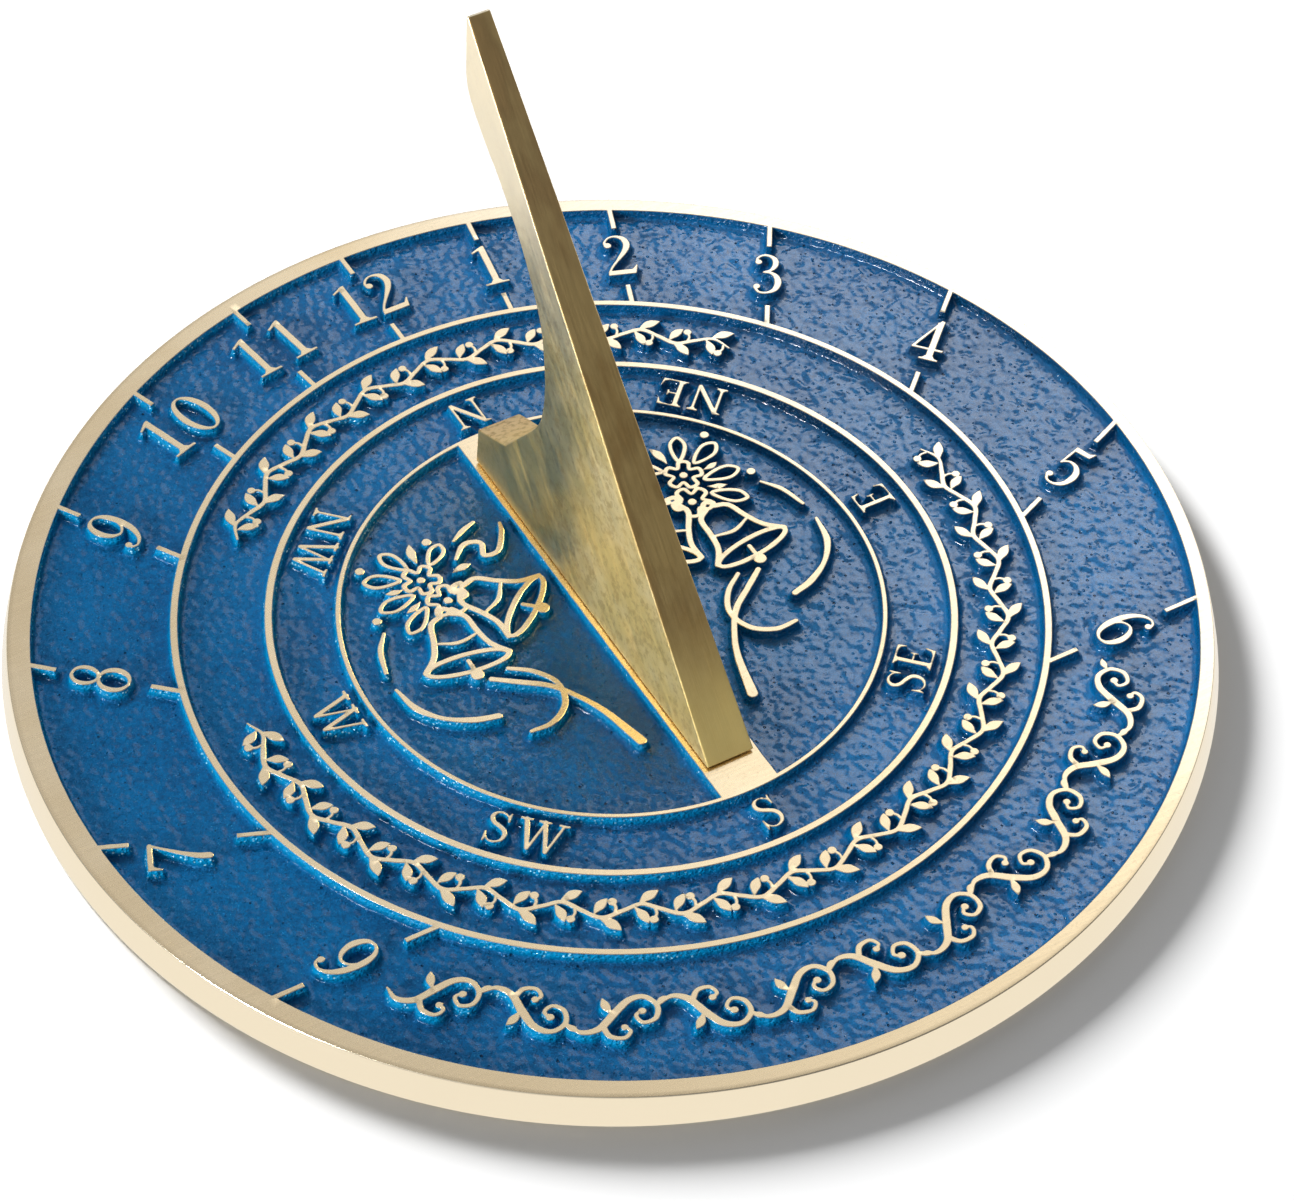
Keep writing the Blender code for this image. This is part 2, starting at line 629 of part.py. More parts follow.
def screw_hole(y):
    """Clearance for one fixing screw: countersink from below, then the shank's way through."""
    mouth_r = SCREW_HEAD_R + GAP + 0.0001
    shank_r = SCREW_R + GAP
    return lathe([
        (0.0, -OVERCUT),
        (mouth_r, -OVERCUT),
        (mouth_r, COUNTERBORE_TOP_Z),
        (shank_r, COUNTERBORE_TOP_Z + SCREW_HEAD_H + GAP * 0.4),
        (shank_r, PLATE_H + OVERCUT),
        (0.0, PLATE_H + OVERCUT),
    ], HOLE_SIDES, y)


def build_dial_plate(hours):
    plate = add("dial_plate", lathe(plate_profile(), SEGMENTS), BRASS)

    body = bmesh.new()
    half_w, half_l = STRIP_W / 2 * FACE_R, RINGS[2][0] * FACE_R
    prism(body, [(-half_w, -half_l), (half_w, -half_l), (half_w, half_l), (-half_w, half_l)],
          MARK_FOOT_Z, PLATE_H)
    boolean(plate, helper("strip_stamp", body), "UNION")

    west_posy = posy()
    marks = (
        hours
        + bend(scrollwork(SCROLL_SPAN * SCROLL_R), SCROLL_R, math.pi, True)
        + bend(vine(VINE_NORTH_SPAN * VINE_R), VINE_R, 0.0, False)
        + bend(vine(VINE_SOUTH_SPAN * VINE_R), VINE_R, math.pi, True)
        + compass_marks(compass_name)
        + west_posy
        + place(west_posy, 0, 0, mirror=-1.0)
    )
    stamp = helper("marks_stamp", solid_marks(marks, MARK_FOOT_Z, PLATE_H))
    boolean(plate, stamp, "UNION", self_cross=True)

    for side, y, _ in SCREWS:
        boolean(plate, helper("hole_cutter_" + side, screw_hole(y)), "DIFFERENCE")
    settle(plate)


# ---------------------------------------------------------------- enamel fills
CUT_Z0, CUT_Z1 = ENAMEL_Z0 - ENAMEL_OVERCUT, ENAMEL_Z1 + ENAMEL_OVERCUT


def build_ring_fill(name, wall_out, wall_in, cutters):
    """Enamel between two walls (face units), cut clear of the metal standing through it."""
    outer, inner = wall_out * FACE_R - ENAMEL_EDGE, wall_in * FACE_R + ENAMEL_EDGE
    profile = [(outer, ENAMEL_Z0), (outer, ENAMEL_Z1), (inner, ENAMEL_Z1), (inner, ENAMEL_Z0)]
    fill = add(name, lathe(profile, SEGMENTS), BLUE_ENAMEL)
    for i, marks in enumerate(cutters):
        cutter = helper(f"{name}_cutter_{i}", solid_marks(marks, CUT_Z0, CUT_Z1, ENAMEL_EDGE))
        boolean(fill, cutter, "DIFFERENCE", self_cross=True)
    settle(fill)


def build_half_disc(name, sign):
    """Enamel beside the meridian strip, west (sign = -1) or east (sign = 1)."""
    radius = RING_3_IN * FACE_R - ENAMEL_EDGE
    reach = math.acos((STRIP_W / 2 * FACE_R + GAP) / radius)
    angles = [-reach + 2 * reach * k / HALF_DISC_STEPS for k in range(HALF_DISC_STEPS + 1)]
    outline = [(sign * radius * math.cos(a), radius * math.sin(a)) for a in angles]
    body = bmesh.new()
    prism(body, anticlockwise(outline), ENAMEL_Z0, ENAMEL_Z1)
    fill = add(name, body, BLUE_ENAMEL)

    window = [(sign * x * FACE_R, y * FACE_R) for x, y in POSY_WINDOW]
    body = bmesh.new()
    prism(body, anticlockwise(window), CUT_Z0, CUT_Z1)
    boolean(fill, helper(name + "_window", body), "DIFFERENCE")
    settle(fill)


def build_enamel(hours):
    build_ring_fill("enamel_hour_band", 1.0, RING_1_OUT,
                    [hours, slot(SCROLL_R, SCROLL_SLOT_H, 127, 233, 24)])
    build_ring_fill("enamel_ornament_band", RING_1_IN, RING_2_OUT,
                    [slot(VINE_R, VINE_SLOT_H, -54, 54, 18) + slot(VINE_R, VINE_SLOT_H, 80, 280, 32)])
    build_ring_fill("enamel_compass_band", RING_2_IN, RING_3_OUT, [compass_marks(compass_window)])
    build_half_disc("enamel_west_half", -1)
    build_half_disc("enamel_east_half", 1)


# ---------------------------------------------------------------- gnomon
# north edge from the foot up to just under the tip, face units: y, z above the tops
GNOMON_NORTH_EDGE = [
    (0.4080, 0.0840), (0.3085, 0.1320), (0.2490, 0.2070), (0.2060, 0.2630), (0.1870, 0.3000),
    (0.1788, 0.3320), (0.1752, 0.3700), (0.1775, 0.4200), (0.1855, 0.4750), (0.1960, 0.5150),
    (0.2120, 0.5490), (0.2364, 0.5900), (0.2590, 0.6230), (0.2860, 0.6560), (0.3130, 0.6830),
    (0.3500, 0.7190), (0.3850, 0.7480), (0.4160, 0.7770), (0.4420, 0.8060), (0.4545, 0.8290),
    (0.4597, 0.8560),
]
GNOMON_HEEL_Y = 0.4130


def build_gnomon():
    """Side profile in the meridian plane, its thickness tapering from base to tip."""
    base_z = GAP / FACE_R
    profile = [
        (TOE_Y + base_z / math.tan(STYLE_ANGLE), base_z),
        (GNOMON_HEEL_Y, base_z),
        *GNOMON_NORTH_EDGE,
        (TOE_Y + TIP_Z / math.tan(STYLE_ANGLE), TIP_Z),
    ]
    body = bmesh.new()
    west, east = [], []
    for y, z in profile:
        half = GNOMON_HALF_BASE + (GNOMON_HALF_TIP - GNOMON_HALF_BASE) * z / TIP_Z
        west.append(body.verts.new((-half, y * FACE_R, PLATE_H + z * FACE_R)))
        east.append(body.verts.new((half, y * FACE_R, PLATE_H + z * FACE_R)))
    skin(body, west, east)
    gnomon = add("gnomon", body, DARK_BRASS)

    bevel = gnomon.modifiers.new("broken_edges", "BEVEL")
    bevel.width = GNOMON_BEVEL
    bevel.segments = 1
    bevel.limit_method = "ANGLE"
    bevel.angle_limit = math.radians(50)

    tap_r = SCREW_R + GAP
    for side, y, _ in SCREWS:
        tap = lathe([
            (0.0, PLATE_H - OVERCUT),
            (tap_r, PLATE_H - OVERCUT),
            (tap_r, SCREW_END_Z + TAP_SIDE_EXTRA),
            (0.0, SCREW_END_Z + TAP_POINT_EXTRA),
        ], SCREW_SIDES, y)
        boolean(gnomon, helper("tap_cutter_" + side, tap), "DIFFERENCE")
    settle(gnomon)


# ---------------------------------------------------------------- fixing screws
def build_screw(side, screw_y, slot_deg):
    """Slotted countersunk brass machine screw, its head just inside the underside."""
    body = lathe([
        (0.0, GAP),
        (SCREW_HEAD_R - SCREW_HEAD_EDGE, GAP),
        (SCREW_HEAD_R, GAP + SCREW_HEAD_EDGE),
        (SCREW_R, GAP + SCREW_HEAD_H),
        (SCREW_R, SCREW_END_Z - SCREW_END_BEVEL),
        (SCREW_R - SCREW_END_BEVEL, SCREW_END_Z),
        (0.0, SCREW_END_Z),
    ], SCREW_SIDES, screw_y)
    screw = add("gnomon_screw_" + side, body, SCREW_BRASS)

    turn = math.radians(slot_deg)
    corners = [(-SLOT_HALF_L, -SLOT_HALF_W), (SLOT_HALF_L, -SLOT_HALF_W),
               (SLOT_HALF_L, SLOT_HALF_W), (-SLOT_HALF_L, SLOT_HALF_W)]
    [(_, outline)] = place([("area", corners)], 0, screw_y, turn)
    body = bmesh.new()
    prism(body, outline, GAP - OVERCUT, GAP + SLOT_DEPTH)
    boolean(screw, helper("slot_cutter_" + side, body), "DIFFERENCE")
    settle(screw)


hour_drawing = hour_marks()
build_dial_plate(hour_drawing)
build_enamel(hour_drawing)
build_gnomon()
for screw_row in SCREWS:
    build_screw(*screw_row)
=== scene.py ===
# Horizontal garden sundial: a cast brass dial with blue enamel in its recesses, a tapered brass
# gnomon and two fixing screws. The dial lies about the origin with its underside on z = 0 and
# north towards +Y; the gnomon stands in the plane x = 0 and its style rises towards the north.
# The relief is one height field: every raised mark is a pen stroke, the strokes make a distance
# field, and the field is contoured and triangulated, so metal and enamel meet on a shared line.
import math

import bmesh
import bpy
import numpy as np
from mathutils import Matrix, Vector
from mathutils.geometry import delaunay_2d_cdt


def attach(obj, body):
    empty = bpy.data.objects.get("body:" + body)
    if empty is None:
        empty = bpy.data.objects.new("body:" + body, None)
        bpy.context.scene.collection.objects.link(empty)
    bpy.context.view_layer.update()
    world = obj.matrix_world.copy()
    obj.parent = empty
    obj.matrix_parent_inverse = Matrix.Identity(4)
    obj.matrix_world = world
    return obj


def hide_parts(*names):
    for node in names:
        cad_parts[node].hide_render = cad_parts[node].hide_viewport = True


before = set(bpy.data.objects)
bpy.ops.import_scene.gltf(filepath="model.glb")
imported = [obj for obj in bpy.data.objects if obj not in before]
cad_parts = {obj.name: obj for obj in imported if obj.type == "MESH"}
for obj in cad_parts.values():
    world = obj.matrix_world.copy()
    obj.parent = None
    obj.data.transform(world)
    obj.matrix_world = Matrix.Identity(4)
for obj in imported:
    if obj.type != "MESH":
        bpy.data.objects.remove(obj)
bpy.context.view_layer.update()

# ---------------------------------------------------------------- dimensions, millimetres
MM = 0.001                 # one millimetre in metres
FACE_R = 102.7             # inner edge of the raised rim
PLATE_R = 107.5
PLATE_H = 6.5
RIM_R = FACE_R + 3.4       # outer edge of the rim's top
RIM_FLAT_R = RIM_R - 0.28
RIM_SHIFT = (0.75, -0.30)  # the inside of the rim was turned a little off centre
CAST_FLOOR = 4.10          # bare casting under the enamel
ENAMEL_FOOT = 4.14
ENAMEL_FLOOR = 4.50
GAP = 0.3
SCREW_Y = (-23.0, 28.5)
SCREW_R, SCREW_HEAD_R, SCREW_HEAD_H, SCREW_REACH = 2.0, 3.8, 1.8, 8.0
HOLE_R = SCREW_R + GAP
SINK_R = SCREW_HEAD_R + GAP + 0.1
SINK_Z = GAP + 0.2

# in face radii: the rings are given by middle radius and by width of their polished tops
OUTER_RING, MIDDLE_RING, INNER_RING = 0.750, 0.589, 0.470
RINGS = ((OUTER_RING, 0.0120), (MIDDLE_RING, 0.0125), (INNER_RING, 0.0080))
STRIP_W = 0.107            # plain strip under the gnomon
ROOT_Y = -0.474            # where the hour lines meet
NUMERAL_R, NUMERAL_H = 0.880, 0.107
TICK_IN, RING_TICK_OUT, TICK_W = 0.960, 0.800, 0.0095
COMPASS_R, COMPASS_H = 0.527, 0.064
SCROLL_R, VINE_R = 0.876, 0.668
TOE_Y, TIP_Z = -0.408, 0.978

LATITUDE = math.radians(40.5)
STYLE_ANGLE = math.radians(48.44)
GNOMON_HALF_BASE, GNOMON_HALF_TIP = 4.52, 2.14   # half thickness at base and tip, mm

# ---------------------------------------------------------------- relief drawing
# A mark is ("line", [(x, y, width), ...], closed), ("dot", x, y, radius) or ("poly", [(x, y), ...]).
# On the dial they are in face radii.
CURVE_STEPS = 6


def smooth(points, steps=CURVE_STEPS, closed=False):
    """Catmull-Rom curve through (x, y, width) points, with this many steps to each span."""
    count = len(points)
    curve_points = []
    for i in range(count if closed else count - 1):
        start, end = points[i], points[(i + 1) % count]
        if closed:
            before, after = points[i - 1], points[(i + 2) % count]
        else:
            before = points[i - 1] if i else tuple(2 * a - b for a, b in zip(start, end))
            last = i + 2 == count
            after = tuple(2 * b - a for a, b in zip(start, end)) if last else points[i + 2]
        for k in range(steps):
            t = k / steps
            curve_points.append(tuple(
                0.5 * (2 * b + (c - a) * t + (2 * a - 5 * b + 4 * c - d) * t * t
                       + (3 * b - a - 3 * c + d) * t ** 3)
                for a, b, c, d in zip(before, start, end, after)))
    if not closed:
        curve_points.append(points[-1])
    return [(x, y, max(width, 0.002)) for x, y, width in curve_points]


def curve(points, closed=False, steps=CURVE_STEPS):
    return ("line", smooth(points, steps, closed), closed)


def straight(*points):
    return ("line", list(points), False)


def poly(*corners):
    return ("poly", list(corners))


def oval(x, y, radius_x, radius_y, thick, thin, count):
    """Closed oval stroke, thick at its sides and thin at top and bottom."""
    points = []
    for k in range(count):
        angle = 2 * math.pi * k / count
        width = thin + (thick - thin) * abs(math.cos(angle)) ** 1.6
        points.append((x + radius_x * math.cos(angle), y + radius_y * math.sin(angle), width))
    return ("line", points, True)


def stem(x, bottom, top, width):
    left, right = x - width / 2, x + width / 2
    return poly((left, bottom), (right, bottom), (right, top), (left, top))


def serif(x, y, up, half, width, thickness=45, bracket=75):
    """Bracketed foot (up = 1) or head (up = -1) of a stem, in thousandths of the height."""
    side = width / 2
    outer_y = y + up * thickness
    ease_y = y + up * (thickness + 12)
    top_y = y + up * (thickness + bracket)
    corners = [(x - half, y), (x + half, y), (x + half, outer_y), (x + side + 50, ease_y),
               (x + side, top_y), (x - side, top_y), (x - side - 50, ease_y), (x - half, outer_y)]
    return ("poly", corners[::up])


def moved(marks, move, scale=1.0):
    """Marks with every point passed through move(x, y), and widths and radii scaled."""
    result = []
    for mark in marks:
        if mark[0] == "line":
            points = [move(x, y) + (width * scale,) for x, y, width in mark[1]]
            result.append(("line", points, mark[2]))
        elif mark[0] == "dot":
            result.append(("dot",) + move(mark[1], mark[2]) + (mark[3] * scale,))
        else:
            result.append(("poly", [move(x, y) for x, y in mark[1]]))
    return result


def place(marks, to_x, to_y, angle=0.0, scale=1.0, mirror=1.0):
    """Marks scaled, turned by angle and set at (to_x, to_y). mirror = -1 swaps left and right."""
    cosine, sine = math.cos(angle), math.sin(angle)

    def move(x, y):
        x, y = x * scale * mirror, y * scale
        return (to_x + x * cosine - y * sine, to_y + x * sine + y * cosine)

    return moved(marks, move, scale)


# Glyphs, in thousandths of the capital height with the baseline at y = 0: advance and marks.
THICK, THIN = 122, 52
SIX = [
    curve([(475, 860, 55), (440, 945, 50), (345, 975, 50), (220, 905, 75), (120, 740, 105),
           (75, 520, 122), (85, 270, 115), (160, 90, 75), (290, 28, 50), (415, 100, 90),
           (470, 300, 118), (420, 500, 90), (300, 600, 50), (170, 545, 50), (95, 400, 50)]),
    ("dot", 445, 855, 60)]
GLYPHS = {
    "0": (600, [oval(285, 500, 232, 465, THICK, THIN, 48)]),
    "1": (470, [
        stem(235, 0, 970, THICK), serif(235, 0, 1, 215, THICK),
        poly((174, 900), (45, 845), (30, 885), (235, 1000), (296, 1005), (296, 970))]),
    "2": (600, [
        curve([(75, 765, 60), (75, 860, 50), (160, 955, 50), (280, 975, 55), (400, 910, 100),
               (445, 765, 125), (400, 610, 110), (270, 420, 70), (120, 220, 50), (50, 85, 50)]),
        ("dot", 115, 765, 68),
        poly((20, 0), (500, 0), (560, 215), (530, 220), (455, 118), (90, 118), (20, 60))]),
    "3": (580, [
        curve([(85, 800, 60), (100, 900, 50), (200, 972, 50), (320, 955, 70), (405, 860, 105),
               (405, 720, 105), (330, 600, 65), (210, 545, 45)]),
        curve([(210, 545, 45), (340, 530, 65), (440, 420, 110), (460, 265, 122), (400, 110, 95),
               (270, 28, 55), (130, 45, 50), (60, 160, 60)]),
        ("dot", 115, 800, 62), ("dot", 95, 185, 64)]),
    "4": (620, [
        stem(375, 0, 960, THICK), serif(375, 0, 1, 170, THICK),
        straight((50, 275, 55), (200, 600, 55), (385, 985, 55)),
        poly((15, 245), (575, 245), (575, 325), (550, 300), (45, 300)),
        poly((314, 900), (436, 900), (436, 1005), (372, 1005))]),
    "5": (570, [
        poly((115, 865), (430, 865), (485, 1015), (450, 1015), (380, 965), (115, 985)),
        straight((140, 950, 50), (118, 720, 50), (98, 530, 50)),
        curve([(100, 545, 45), (210, 615, 50), (340, 585, 85), (435, 460, 118), (450, 290, 125),
               (390, 115, 95), (260, 28, 55), (125, 45, 50), (55, 160, 60)]),
        ("dot", 90, 185, 64)]),
    "6": (580, SIX),
    "7": (540, [
        straight((55, 955, 75), (280, 955, 85), (505, 955, 85)),
        poly((160, 990), (160, 920), (95, 900), (50, 770), (20, 770), (20, 990)),
        curve([(510, 950, 50), (420, 720, 55), (320, 460, 80), (250, 220, 110), (235, 55, 125)])]),
    "8": (560, [oval(270, 755, 165, 215, 85, THIN, 36), oval(270, 275, 205, 250, 105, THIN, 36)]),
    # a nine is a six given a half turn
    "9": (580, moved(SIX, lambda x, y: (560 - x, 1000 - y))),
    "N": (980, [
        stem(170, 20, 970, 78), stem(800, 30, 980, 78),
        poly((135, 900), (735, 0), (828, 0), (828, 100), (230, 985), (85, 985)),
        serif(170, 0, 1, 150, 78, 60), serif(800, 1000, -1, 150, 78, 60),
        poly((160, 900), (235, 1000), (20, 1000), (20, 955))]),
    "E": (800, [
        stem(200, 0, 1000, 130), serif(180, 0, 1, 165, 130), serif(180, 1000, -1, 165, 130),
        poly((520, 945), (610, 900), (665, 760), (700, 760), (680, 1000), (200, 1000), (200, 945)),
        poly((715, 0), (750, 270), (715, 270), (655, 110), (540, 55), (200, 55), (200, 0)),
        poly((440, 487), (475, 410), (510, 410), (510, 620), (475, 620), (440, 540), (200, 540),
             (200, 487))]),
    "S": (700, [
        curve([(545, 760, 50), (500, 880, 50), (370, 968, 55), (220, 955, 75), (125, 860, 105),
               (125, 730, 115), (220, 620, 120), (370, 540, 125), (510, 430, 125),
               (555, 280, 120), (500, 120, 95), (360, 35, 60), (220, 45, 52), (115, 140, 50),
               (70, 275, 50)]),
        poly((580, 1000), (545, 1000), (500, 900), (530, 700), (575, 700)),
        poly((45, 0), (80, 0), (125, 100), (90, 320), (45, 320))]),
    "W": (1220, [
        straight((130, 965, 125), (255, 500, 125), (365, 60, 110)),
        straight((380, 40, 78), (500, 500, 78), (620, 950, 78)),
        straight((600, 965, 125), (725, 500, 125), (835, 60, 110)),
        straight((850, 40, 78), (970, 500, 78), (1090, 965, 78)),
        serif(130, 1000, -1, 160, 125, 60, 30), serif(600, 1000, -1, 160, 125, 60, 30),
        serif(1090, 1000, -1, 140, 78, 60, 30)]),
}


def word(text, gap, x, y, angle, height):
    """Glyphs side by side, gap thousandths apart, centred on (x, y)."""
    marks, pen_x = [], 0
    for letter in text:
        advance, glyph = GLYPHS[letter]
        marks += place(glyph, pen_x, 0)
        pen_x += advance + gap
    centred = place(marks, -(pen_x - gap) / 2, -500)
    return place(centred, x, y, angle, height / 1000)


def leaf(x, y, angle, length, width):
    """Almond-shaped leaf with its stalk end at (x, y)."""
    outline = [(0.0, 0.0, 0.12), (0.28, 0.045, 0.62), (0.55, 0.055, 1.0), (0.8, 0.035, 0.62),
               (1.0, 0.0, 0.10)]
    points = [(a * length, b * length, w * width) for a, b, w in outline]
    return place([curve(points)], x, y, angle)


def petal(x, y, angle, length, width):
    """Teardrop outline with its point at (x, y)."""
    outline = [(0.0, 0.0), (0.34, 0.40), (0.72, 0.50), (1.0, 0.04), (0.76, -0.46), (0.36, -0.40)]
    points = [(a * length, b * width, 0.0078) for a, b in outline]
    return place([curve(points, closed=True)], x, y, angle)


def flower(x, y, radius, tilt):
    """Five-petalled flower in outline, with a round heart."""
    points = []
    for k in range(5):
        angle = tilt + 2 * math.pi * k / 5
        # each petal: angle from its start, radius factor, pen width
        for turn, reach, width in ((0.0, 0.58, 0.0075), (0.34, 0.98, 0.0085),
                                   (0.63, 1.06, 0.0085), (0.92, 0.98, 0.0085)):
            points.append((x + radius * reach * math.cos(angle + turn),
                           y + radius * reach * math.sin(angle + turn), width))
    return [curve(points, closed=True, steps=5), ("dot", x, y, radius * 0.24)]


def bell(x, y, angle, size):
    """Hand bell in outline: crown at (x, y), mouth towards -y before it is turned by angle."""
    pen = 0.011 / size
    marks = [curve([(side * 0.06, -0.02, pen), (side * 0.26, -0.14, pen), (side * 0.33, -0.46, pen),
                    (side * 0.43, -0.76, pen), (side * 0.63, -1.0, pen * 1.05)])
             for side in (-1, 1)]
    marks += [
        oval(0.0, -1.02, 0.62, 0.17, pen * 0.9, pen * 0.95, 48),
        curve([(-0.30, -0.52, pen * 0.55), (0.0, -0.60, pen * 0.8), (0.30, -0.52, pen * 0.55)]),
        straight((0.02, -0.98, pen * 0.8), (0.05, -1.22, pen * 0.8)),
        ("dot", 0.055, -1.27, 0.10),
        curve([(-0.10, 0.03, pen), (0.0, 0.10, pen), (0.10, 0.03, pen)])]
    return place(marks, x, y, angle, size)


def bend(marks, radius, middle, inward):
    """Wraps a strip drawn along +x (its up towards +y) round a circle. middle is the compass angle
    of x = 0. Tops point out and x runs clockwise; when inward, tops point to the centre and x
    runs anticlockwise."""

    def move(x, y):
        reach = radius - y if inward else radius + y
        angle = middle - x / radius if inward else middle + x / radius
        return (reach * math.sin(angle), reach * math.cos(angle))

    return moved(marks, move)


def vine(length):
    """Olive spray: a waving stem along x, with leaves and a berry to each half wave."""
    swing, pen = 0.0135, 0.0090
    count = max(2, int(round(length / 0.0660)))
    half_wave = length / count
    left = -length / 2
    points = []
    for i in range(count * 2 + 1):
        t = i / 2
        taper = min(1.0, 0.45 + 0.55 * min(t, count - t))
        points.append((left + t * half_wave, swing * math.sin(math.pi * t), pen * taper))
    marks = [curve(points)]
    for i in range(count):
        side = 1 if i % 2 == 0 else -1
        x = left + (i + 0.5) * half_wave
        marks += leaf(x - 0.004, side * (swing + 0.0005), side * 0.62, 0.042, 0.0190)
        marks += leaf(x - 0.012, side * (swing - 0.0065), -side * 1.02, 0.038, 0.0180)
        berry_x, berry_y = x + 0.017, -side * (swing + 0.006)
        marks.append(curve([(x + 0.0215, side * 0.0015, 0.0055),
                            (x + 0.0225, -side * 0.008, 0.0055), (berry_x, berry_y, 0.006)]))
        marks.append(("dot", berry_x, berry_y, 0.0078))
    return marks


# the two curls of one scroll: x, y, factor on the pen width
LONG_CURL = [
    (-0.086, -0.020, 0.35), (-0.064, -0.034, 0.75), (-0.036, -0.026, 1.0), (-0.012, 0.004, 1.12),
    (0.012, 0.030, 1.0), (0.040, 0.036, 0.8), (0.060, 0.018, 0.72), (0.056, -0.006, 0.7),
    (0.036, -0.014, 0.62), (0.024, -0.001, 0.55), (0.033, 0.010, 0.5)]
SHORT_CURL = [
    (-0.030, -0.022, 0.8), (-0.018, -0.040, 0.75), (0.004, -0.043, 0.65), (0.014, -0.030, 0.55),
    (0.004, -0.021, 0.5)]


def scrollwork(length):
    """Flowing scrolls: S curves with curled, ball-ended tips and leaves at each join."""
    unit, pen = 0.150, 0.0125
    count = max(1, int(round(length / unit)))
    spacing = length / count
    stretch = spacing / unit
    marks = []
    for i in range(count):
        side = 1 if i % 2 == 0 else -1
        middle = -length / 2 + (i + 0.5) * spacing
        for curl in (LONG_CURL, SHORT_CURL):
            marks.append(curve([(middle + x * stretch, side * y, pen * w) for x, y, w in curl]))
        marks.append(("dot", middle + 0.0345 * stretch, side * 0.0085, 0.0068))
        marks.append(("dot", middle + 0.005 * stretch, -side * 0.0225, 0.0062))
        marks += leaf(middle - 0.016 * stretch, side * 0.004, side * 2.05, 0.034, 0.0150)
        marks += leaf(middle + 0.058 * stretch, side * 0.022, side * 0.45, 0.026, 0.0120)
    return marks


# x, y, angle, length, width
POSY_PETALS = (
    (-0.272, 0.241, 2.02, 0.058, 0.026), (-0.294, 0.224, 2.72, 0.062, 0.028),
    (-0.290, 0.181, 3.22, 0.066, 0.028), (-0.284, 0.146, 3.80, 0.064, 0.027),
    (-0.232, 0.232, 0.72, 0.050, 0.024))
POSY_LEAVES = (
    (-0.250, 0.246, 1.38, 0.046, 0.017), (-0.300, 0.202, 2.98, 0.030, 0.013),
    (-0.286, 0.163, 3.52, 0.034, 0.013), (-0.205, 0.196, 0.10, 0.036, 0.015))
# a bow end beside the flowers, then tails that sweep round the disc: x, y, pen width factor
RIBBON_PEN = 0.0105
RIBBONS = (
    [(-0.186, 0.222, 0.6), (-0.158, 0.246, 1), (-0.130, 0.236, 1), (-0.138, 0.207, 1),
     (-0.112, 0.205, 1), (-0.086, 0.240, 0.9), (-0.078, 0.262, 0.6)],
    [(-0.170, 0.262, 0.5), (-0.145, 0.276, 1), (-0.118, 0.286, 0.6)],
    [(-0.374, 0.128, 0.5), (-0.398, 0.094, 0.9), (-0.412, 0.046, 0.7)],
    [(-0.414, 0.004, 0.6), (-0.404, -0.048, 1.2), (-0.374, -0.090, 0.9), (-0.330, -0.118, 1.25),
     (-0.290, -0.130, 1.2)],
    [(-0.262, -0.052, 1), (-0.222, -0.082, 1.1), (-0.183, -0.112, 1.1), (-0.156, -0.150, 1),
     (-0.130, -0.205, 1.2), (-0.108, -0.292, 1.8)],
    [(-0.226, -0.044, 0.8), (-0.190, -0.072, 1), (-0.168, -0.114, 1), (-0.180, -0.160, 1.05),
     (-0.218, -0.186, 1.05), (-0.258, -0.186, 0.8)])


def posy():
    """Ornament of the west half disc: flowers and leaves over two bells, with a ribbon."""
    marks = flower(-0.262, 0.207, 0.0315, 0.2) + flower(-0.243, 0.143, 0.0335, 0.75)
    for entry in POSY_PETALS:
        marks += petal(*entry)
    for entry in POSY_LEAVES:
        marks += leaf(*entry)
    for x, y in ((-0.345, 0.276), (-0.212, 0.282), (-0.372, 0.158)):
        marks.append(("dot", x, y, 0.0085))
    marks += bell(-0.262, 0.118, -0.15, 0.118) + bell(-0.212, 0.158, 0.72, 0.118)
    marks += [curve([(x, y, RIBBON_PEN * w) for x, y, w in ribbon]) for ribbon in RIBBONS]
    return marks


# how far each hour line sits from its computed angle on the casting (degrees), and how far its
# figure sits off the line (figure heights); hours from noon
AS_CAST = {0: -0.6, 1: -0.55, 2: -0.7, 3: -0.95, 4: -0.8, 5: -0.3, -3: 0.2}
OFF_LINE = {-5: -0.30, -6: 0.14}


def hour_angle(hour):
    """Angle at the root between noon and an hour line."""
    sun = math.radians(15 * hour)
    computed = math.atan2(math.sin(LATITUDE) * math.sin(sun), math.cos(sun))
    return computed + math.radians(AS_CAST.get(hour, 0.0))


def on_line(angle, radius):
    """The point where the hour line at that angle crosses a circle about the dial's centre."""
    dx, dy = math.sin(angle), math.cos(angle)
    reach = -ROOT_Y * dy + math.sqrt((ROOT_Y * dy) ** 2 - (ROOT_Y ** 2 - radius * radius))
    return reach * dx, ROOT_Y + reach * dy


def hour_marks(hour):
    """Figure and the two ticks of one hour."""
    angle = hour_angle(hour)
    text = str((12 + hour - 1) % 12 + 1)
    x, y = on_line(angle, NUMERAL_R)
    off = OFF_LINE.get(hour, 0.0) * NUMERAL_H
    marks = word(text, {"12": 100, "11": 270}.get(text, 200),
                 x + off * math.cos(angle), y - off * math.sin(angle), -angle, NUMERAL_H)
    side_x, side_y = math.cos(angle) * TICK_W / 2, -math.sin(angle) * TICK_W / 2
    outer_ring, outer_ring_w = RINGS[0]
    for start, end in ((TICK_IN - 0.008, 1.012),
                       (outer_ring + outer_ring_w / 2 - 0.003, RING_TICK_OUT)):
        (x0, y0), (x1, y1) = on_line(angle, start), on_line(angle, end)
        marks.append(poly((x0 - side_x, y0 - side_y), (x0 + side_x, y0 + side_y),
                          (x1 + side_x, y1 + side_y), (x1 - side_x, y1 - side_y)))
    return marks


